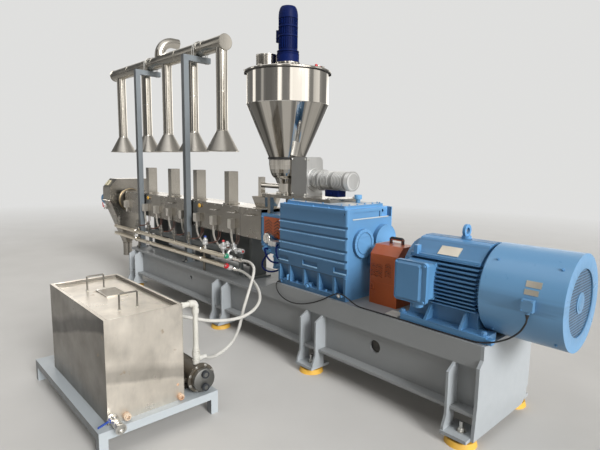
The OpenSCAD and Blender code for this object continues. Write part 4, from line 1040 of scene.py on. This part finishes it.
def make_agitator_trim():
    trim = Piece("agitator_trim", "motor_navy")
    trim.bolt(circle(above(2541), 90, 8, 22, "xy"), "z", 15)
    for a in turns(28):
        out, over = Vector((math.cos(a), math.sin(a), 0)), Vector((-math.sin(a), math.cos(a), 0)) * 2
        for z0, z1 in ((2594, 2688), (2712, 2766), (2792, 2836)):
            inner, outer = Vector(above(z0)) + out * 76, Vector(above(z0)) + out * 84
            fin = [inner - over, outer - over, outer + over, inner + over]
            rise = AXES["z"] * (z1 - z0)
            trim.faces(fin + [p + rise for p in fin], slab_faces(4)[:-1])
    flange = [(0, 96), (3, 98), (12, 98), (15, 91), (22, 91), (25, 97), (34, 97), (37, 85)]
    trim.turned(above(2541), "z", flange, 40)
    trim.box((HOPPER_X - 114, -43, 2660), (HOPPER_X - 106, 43, 2766), 3)
    trim.bolt(grid(HOPPER_X - 114, (-34, 34), (2670, 2756)), DIE_WAY, 9, washer=False)
    trim.turned((HOPPER_X - 88, -40, 2690), FRONT, [(0, 12), (14, 12), (18, 8)], 12)


# Oil pump and lantern

PUMP_AT = (2857, -225)
OIL_LINES = (
    [(2730, -215, 812), (2729, -240, 786), (2722, -268, 748), (2728, -282, 710), (2751, -286, 686),
     (2790, -286, 674), (2830, -284, 672), (2880, -280, 680), (2925, -272, 696), (2961, -262, 716)],
    [(2779, -254, 862), (2774, -288, 868), (2790, -300, 850), (2822, -300, 800), (2872, -296, 770),
     (2925, -284, 766), (2961, -270, 770)],
    [(2896, -240, 912), (2914, -272, 905), (2926, -288, 880), (2936, -290, 836), (2948, -282, 806),
     (2962, -272, 796)],
)


def make_pump_trim():
    pump = Piece("oil_pump_unit", "machine_blue", stands_for="oil_pump")
    pump.box((2715, -258, 824), (2893, -153, 902), 8)
    pump.box((2880, -252, 716), (2962, -170, 884), 10)
    body = [(0, 26), (4, 31), (16, 31), (18, 27), (96, 27), (100, 33), (112, 33), (116, 26), (128, 26)]
    pump.turned((*PUMP_AT, 696), "z", body)
    pump.turned((*PUMP_AT, 742), "x", [(0, 22), (70, 22), (72, 34), (84, 36), (104, 36)])
    pump.turned((2752, -256, 862), FRONT, [(-4, 26), (8, 26), (10, 20), (26, 20), (28, 15), (34, 15)], 8)
    pump.turned((2730, -215, 826), DOWN, [(-4, 20), (10, 20), (12, 15), (26, 15)], 8)
    pump.turned((2800, -254, 846), FRONT, [(-4, 16), (12, 16), (14, 12)], 12)
    pump.bolt(grid((2726, 2882), -258, (836, 890)), FRONT, 12, washer=False)
    pump.bolt(grid(2921, -252, (738, 862)), FRONT, 15)
    oil_filter = Piece("oil_filter", "stainless", "bright_steel")
    can = [(0, 28), (42, 28), (48, 46), (104, 47), (108, 44), (110, 34), (108, 32), (110, 14), (114, 13),
           (115, 5)]
    oil_filter.turned((2756, -153, 953), FRONT, can, 36)
    oil_filter.use("black_clamp")
    oil_filter.ring((2756, -252, 953), "y", 46.5, 3, 40, 8)
    oil_filter.use("cast_alloy")
    oil_filter.box((2792, -272, 896), (2898, -206, 940), 6)
    oil_filter.turned((2845, -268, 918), FRONT, [(0, 24), (8, 24), (10, 20)])
    pipes = Piece("oil_pipes", "machine_blue", "motor_navy")
    for line in OIL_LINES:
        pipes.tube(smoothed(line, 5), 8, 10)
    frames, bolts = Piece("lantern_frames", "guard_orange"), Piece("lantern_bolts", "machine_blue")
    for side in (-1, 1):
        frames.bolt(grid((2610, 2794), side * 161, (952, 1113)), (0, side, 0), 12, washer=False)
        bolts.bolt(grid((2566, 2950), side * 155, (880, 930, 1120)), (0, side, 0), 16)


# Water tank, its piping and the heat exchanger

TANK_X0, TANK_X1, TANK_Y0, TANK_Y1, TANK_TOP = 2430, 3430, -1920, -1448, 757
RIM_WIDTH, RIM_DEPTH, SHADOW = 20, 21, 3
HANDLE_XS = (2690, 3239)
LID_Z = 740
DRAIN_Y = -1894
STACK_X, STACK_Y = 3370, -1325
EXCHANGER_Z, PORT_ZS = 243, (201, 285)


def make_tank_trim():
    rim = Piece("tank_rim", "tank_steel")
    rim.border((TANK_X0, TANK_Y0, TANK_TOP - 2), (TANK_X1, TANK_Y1, TANK_TOP + 1.5), RIM_WIDTH)
    for x, y in itertools.product((TANK_X0 + 1, TANK_X1 - 1), (TANK_Y0 + 1, TANK_Y1 - 1)):
        rim.tube(grid(x, y, (152, 450, TANK_TOP)), 2.4, 6)
    rim.use("dark_fittings")
    x0, x1, y0, y1 = TANK_X0 + RIM_WIDTH, TANK_X1 - RIM_WIDTH, TANK_Y0 + RIM_WIDTH, TANK_Y1 - RIM_WIDTH
    for low, high in (((x0, y0), (x1, y0 + SHADOW)), ((x0, y1 - SHADOW), (x1, y1)),
                      ((x0, y0), (x0 + SHADOW, y1)), ((x1 - SHADOW, y0), (x1, y1))):
        rim.box((*low, TANK_TOP - RIM_DEPTH), (*high, TANK_TOP - 1), 0)
    mesh = Piece("lid_mesh", "tank_steel", "wire_mesh")
    sides = ((2733, -1713), (2931, -1713), (2931, -1587), (2733, -1587))
    mesh.plate([(x, y, LID_Z + 1.1) for x, y in sides], 1, "z")
    mesh.use("bright_steel")
    mesh.border((2729, -1717, LID_Z), (2935, -1583, LID_Z + 4.5), 5)
    mesh.turned(grid(HANDLE_XS, (-1757, -1647), LID_Z - 3), "z", [(0, 11), (2, 11), (5, 6)], 16)
    bars = Piece("lid_handle_grips", "tank_steel", "dark_fittings")
    for x in HANDLE_XS:
        bars.tube([(x, -1757, 742), (x, -1757, 829), *arc((x, -1751, 829), 6, 180, 90, 4, "yz"),
                   *arc((x, -1653, 829), 6, 90, 0, 4, "yz"), (x, -1647, 829), (x, -1647, 742)], 5.4, 10)
    make_drain()


def make_drain():
    """The drain valve with its blue lever, and the capped ports beside it."""
    fit = Piece("tank_fittings", "tank_steel", "zinc")
    for reach, z, way, profile, sides in (
        (-2, 181, "x", [(0, 31), (5, 31), (8, 27), (8.5, 20), (20, 19)], 28),
        (16, 180, "x", [(0, 22), (22, 22), (23, 26), (62, 26), (63, 22), (84, 22)], 8),
        (84, 178, (1, 0, -0.12),
         [(0, 19), (26, 19), (30, 29), (36, 31), (40, 31), (40.5, 22), (28, 20)], 28),
        (30, 196, "z", [(0, 13), (10, 15), (18, 13), (20, 6)], 16),
    ):
        fit.turned((TANK_X1 + reach, DRAIN_Y, z), way, profile, sides)
    fit.turned((TANK_X1 + 36, DRAIN_Y - 24, 195), FRONT, [(-6, 12), (3, 12), (4, 7), (10, 7)], 12)
    fit.use("rusty_iron")
    for y, z, profile, sides in (
        (-1816, 172, [(0, 22), (24, 22), (26, 17), (34, 17), (34.5, 11), (14, 10)], 16),
        (-1476, 172, [(0, 20), (22, 20), (24, 15), (30, 15), (30.5, 9), (14, 8)], 16),
        (-1490, 252, [(0, 9), (3, 9), (4, 6)], 12),
    ):
        fit.turned((TANK_X1 - 2, y, z), "x", profile, sides)
    lever = Piece("drain_lever", "machine_blue", "blue_grip")
    x = TANK_X1 + 36
    lever.box((x - 11, -1926, 186), (x + 11, -1918, 206), 2)
    blade = ((-1926, 191), (-1926, 201), (-1988, 182), (-1988, 173))
    lever.plate([(x - 3, y, z) for y, z in blade], 7, "x")


def make_piping_trim():
    pipe = Piece("pipe_fittings", "white_pipe")
    socket = [(0, 23), (30, 23), (32, 21)]
    pipe.turned((STACK_X, -1372, 727), "y", socket, 20)
    pipe.turned(grid(STACK_X, STACK_Y, (690, 400, 352)), DOWN, socket, 20)
    bend = ((-1360, 727), (-1345, 727), (-1332, 722), (-1326, 712), (-1325, 700))
    pipe.tube([(STACK_X, y, z) for y, z in bend], 21, 14)
    pipe.turned((STACK_X, -1425, 727), "y", [(0, 21), (14, 21), (15, 18.5)], 20)
    for z, r in ((432, 20), (418, 23), (404, 25), (388, 26), (372, 23), (352, 25), (342, 21)):
        pipe.turned((STACK_X, STACK_Y, z), DOWN, [(0, r - 1), (2, r), (9, r), (11, r - 1)])
    pipe.turned((STACK_X, STACK_Y, 352), FRONT, [(-4, 19), (0, 19)], 18)
    pipe.turned((3135, -1446, 600), "y", [(0, 22), (10, 22), (12, 19)], 18)
    pipe.turned((3135, -1432, 600), "y", [(0, 17), (3, 16)], 18)
    front = Piece("exchanger_front", "dark_steel", "exchanger_face")
    front.turned((3448, STACK_Y, EXCHANGER_Z), "x", [(0, 73.8), (22, 73.8), (23.2, 72)], 48)
    ports = grid(3471, STACK_Y, PORT_ZS)
    front.turned(ports, "x", [(0, 23.5), (19, 23.5), (20, 22), (20, 14.5)], 28)
    front.use("zinc")
    front.bolt(circle((3430, STACK_Y, EXCHANGER_Z), 83.5, 8, 22.5), "x", 13)
    front.use("seam_dark")
    front.turned(ports, "x", [(0, 24), (20.4, 24), (21, 23), (21, 14), (16, 13)], 20)
    welds = Piece("skid_welds", "skid_paint")
    for x, y in itertools.product((2250, 3432), (-1986, -1239)):
        welds.tube(grid(x, y, (101, 120, 143)), 3, 6)
    welds.turned(grid((2225, 3457), (-1965, -1260), 0), "z", [(0.2, 24), (4, 24), (5, 20)], 4)


def make_strain_reliefs():
    """Tapered sleeves where the cords leave their housings."""
    cable = [(-3, 11), (8, 11), (9, 8.6), (20, 7.4), (24, 6.2), (25, 5.2)]
    hose = [(-4, 18), (16, 18), (18, 16.4), (40, 14.6), (52, 13.4), (53, 12.4)]
    black = Piece("cable_reliefs", "cable_black")
    pale = Piece("hose_reliefs", "hose_white")
    for piece, route, profile, sides in ((black, CABLE_ROUTE, cable, 16), (pale, SUPPLY_ROUTE, hose, 20),
                                         (pale, RETURN_ROUTE, hose, 20)):
        for end, after in (route[:2], route[:-3:-1]):
            piece.turned(end, Vector(after) - Vector(end), profile, sides)


for make_trim in (
    make_base_trim, make_gearbox_trim, make_motor_trim, make_guard_trim, make_cover_trim, make_conduits,
    make_trays, make_manifold_trim, make_hood_trim, make_exhaust_trim, make_hopper_trim, make_feeder_trim,
    make_agitator_trim, make_pump_trim, make_tank_trim, make_piping_trim, make_strain_reliefs,
):
    make_trim()
for made in PIECES:
    made.finish()


# Floor and light

BACKDROP = (0.74, 0.74, 0.73)
FLOOR_HALF = 40


def mixed_shaders(g, factor, first, second, output):
    """Sends two shaders, mixed by a factor, to an output node."""
    g.put(g.nodes[output].inputs["Surface"], g.make("MixShader", {0: factor, 1: first, 2: second}))


def make_stage():
    mesh = bpy.data.meshes.new("floor")
    corners = [(sx * FLOOR_HALF, sy * FLOOR_HALF, 0) for sx, sy in ((-1, -1), (1, -1), (1, 1), (-1, 1))]
    mesh.from_pydata(corners, [], [(0, 1, 2, 3)])
    floor = bpy.data.objects.new("floor", mesh)
    mat, g, where = new_material("floor", 0.0)
    tone = g.blend(g.spread(g.noise(where, 1.5, 5), 0, 1), (0.56, 0.55, 0.53), (0.60, 0.59, 0.57))
    g.put(g.shader("Base Color"), tone)
    g.put(g.shader("Roughness"), g.spread(g.noise(where, 2.5), 0.7, 0.8))
    far = g.make("Emission", {"Color": BACKDROP})
    reach = g.make("VectorMath", {0: where}, "Value", operation="LENGTH")
    fade = g.maths("MULTIPLY", g.spread(reach, 0, 1, 5, 14), g.make("LightPath", {}, "Is Camera Ray"))
    mixed_shaders(g, fade, g.nodes["Principled BSDF"].outputs[0], far, "Material Output")
    mesh.materials.append(mat)
    scene.collection.objects.link(floor)


# Light panels round the machine: from and to in degrees about Z, strength, and the height of its end
PANELS = (
    (-152, -140, 1.6, 0.45), (-118, -110, 0.35, 0.45), (-68, -57, 1.9, 0.50), (-35, 19, 1.8, 0.50),
    (34, 58, 0.80, 0.50), (96, 172, 1.1, 0.62), (96, 172, 1.0, 0.14),
)
PANEL_FADE = 1.5


def studio(g):
    """A dim studio with tall light panels round the machine, brighter towards the motor end."""
    way = g.make("TexCoord", {}, "Generated")
    x, y, z = (g.part(way, axis) for axis in "XYZ")
    azimuth = g.maths("MULTIPLY", g.maths("ARCTAN2", y, x), math.degrees(1))
    walls = 0.0
    for start, end, strength, top in PANELS:
        rise, fall = ((a - PANEL_FADE, a + PANEL_FADE) for a in (start, end))
        panel = g.within(azimuth, rise, fall, strength)
        panel = g.maths("MULTIPLY", panel, g.spread(z, 1, 0, top, top + 0.04))
        walls = g.maths("ADD", walls, panel)
    walls = g.maths("MULTIPLY", walls, g.spread(z, 0, 1, 0.01, 0.05))
    roof = g.maths("MULTIPLY", g.spread(z, 0, 1, 0.45, 0.9), 0.20)
    along = g.spread(x, 0.35, 1.15, -0.8, 0.9)
    across = g.spread(y, 0.30, 1.05, -0.9, 0.3)
    rest = g.maths("MULTIPLY", g.maths("MULTIPLY", g.maths("ADD", roof, 0.20), along), across)
    return g.maths("ADD", rest, walls)


def make_lamp(name, kind, towards, power, at):
    """A lamp that shines along a direction."""
    data = bpy.data.lights.new(name, kind)
    data.energy = power
    lamp = bpy.data.objects.new(name, data)
    lamp.location = at
    lamp.rotation_mode = "QUATERNION"
    lamp.rotation_quaternion = Vector(towards).to_track_quat("-Z", "Y")
    scene.collection.objects.link(lamp)
    return data


def make_light():
    world = bpy.data.worlds.new("studio")
    scene.world = world
    world.use_nodes = True
    g = Graph(world)
    lit = g.nodes["Background"]
    g.put(lit.inputs["Color"], (1.0, 0.97, 0.92))
    g.put(lit.inputs["Strength"], studio(g))
    # The pale backdrop is seen from the camera and through glass, and by a share of the mirrored rays
    camera, through, glossy = (g.make("LightPath", {}, "Is %s Ray" % kind)
                               for kind in ("Camera", "Transmission", "Glossy"))
    seen = g.maths("MAXIMUM", g.maths("MAXIMUM", camera, through), g.spread(glossy, 0, 0.22, 0, 1))
    pale = g.make("Background", {"Color": BACKDROP, "Strength": 1})
    mixed_shaders(g, seen, lit.outputs[0], pale, "World Output")
    make_lamp("daylight", "SUN", (-0.86, 0.10, -0.42), 2.9, (6, 0, 6)).angle = math.radians(24)
    skylight = make_lamp("skylight", "AREA", (0, 1.2, -6), 130, (0, -1.5, 6.5))
    skylight.shape = "RECTANGLE"
    skylight.size, skylight.size_y = 8, 4


make_stage()
make_light()
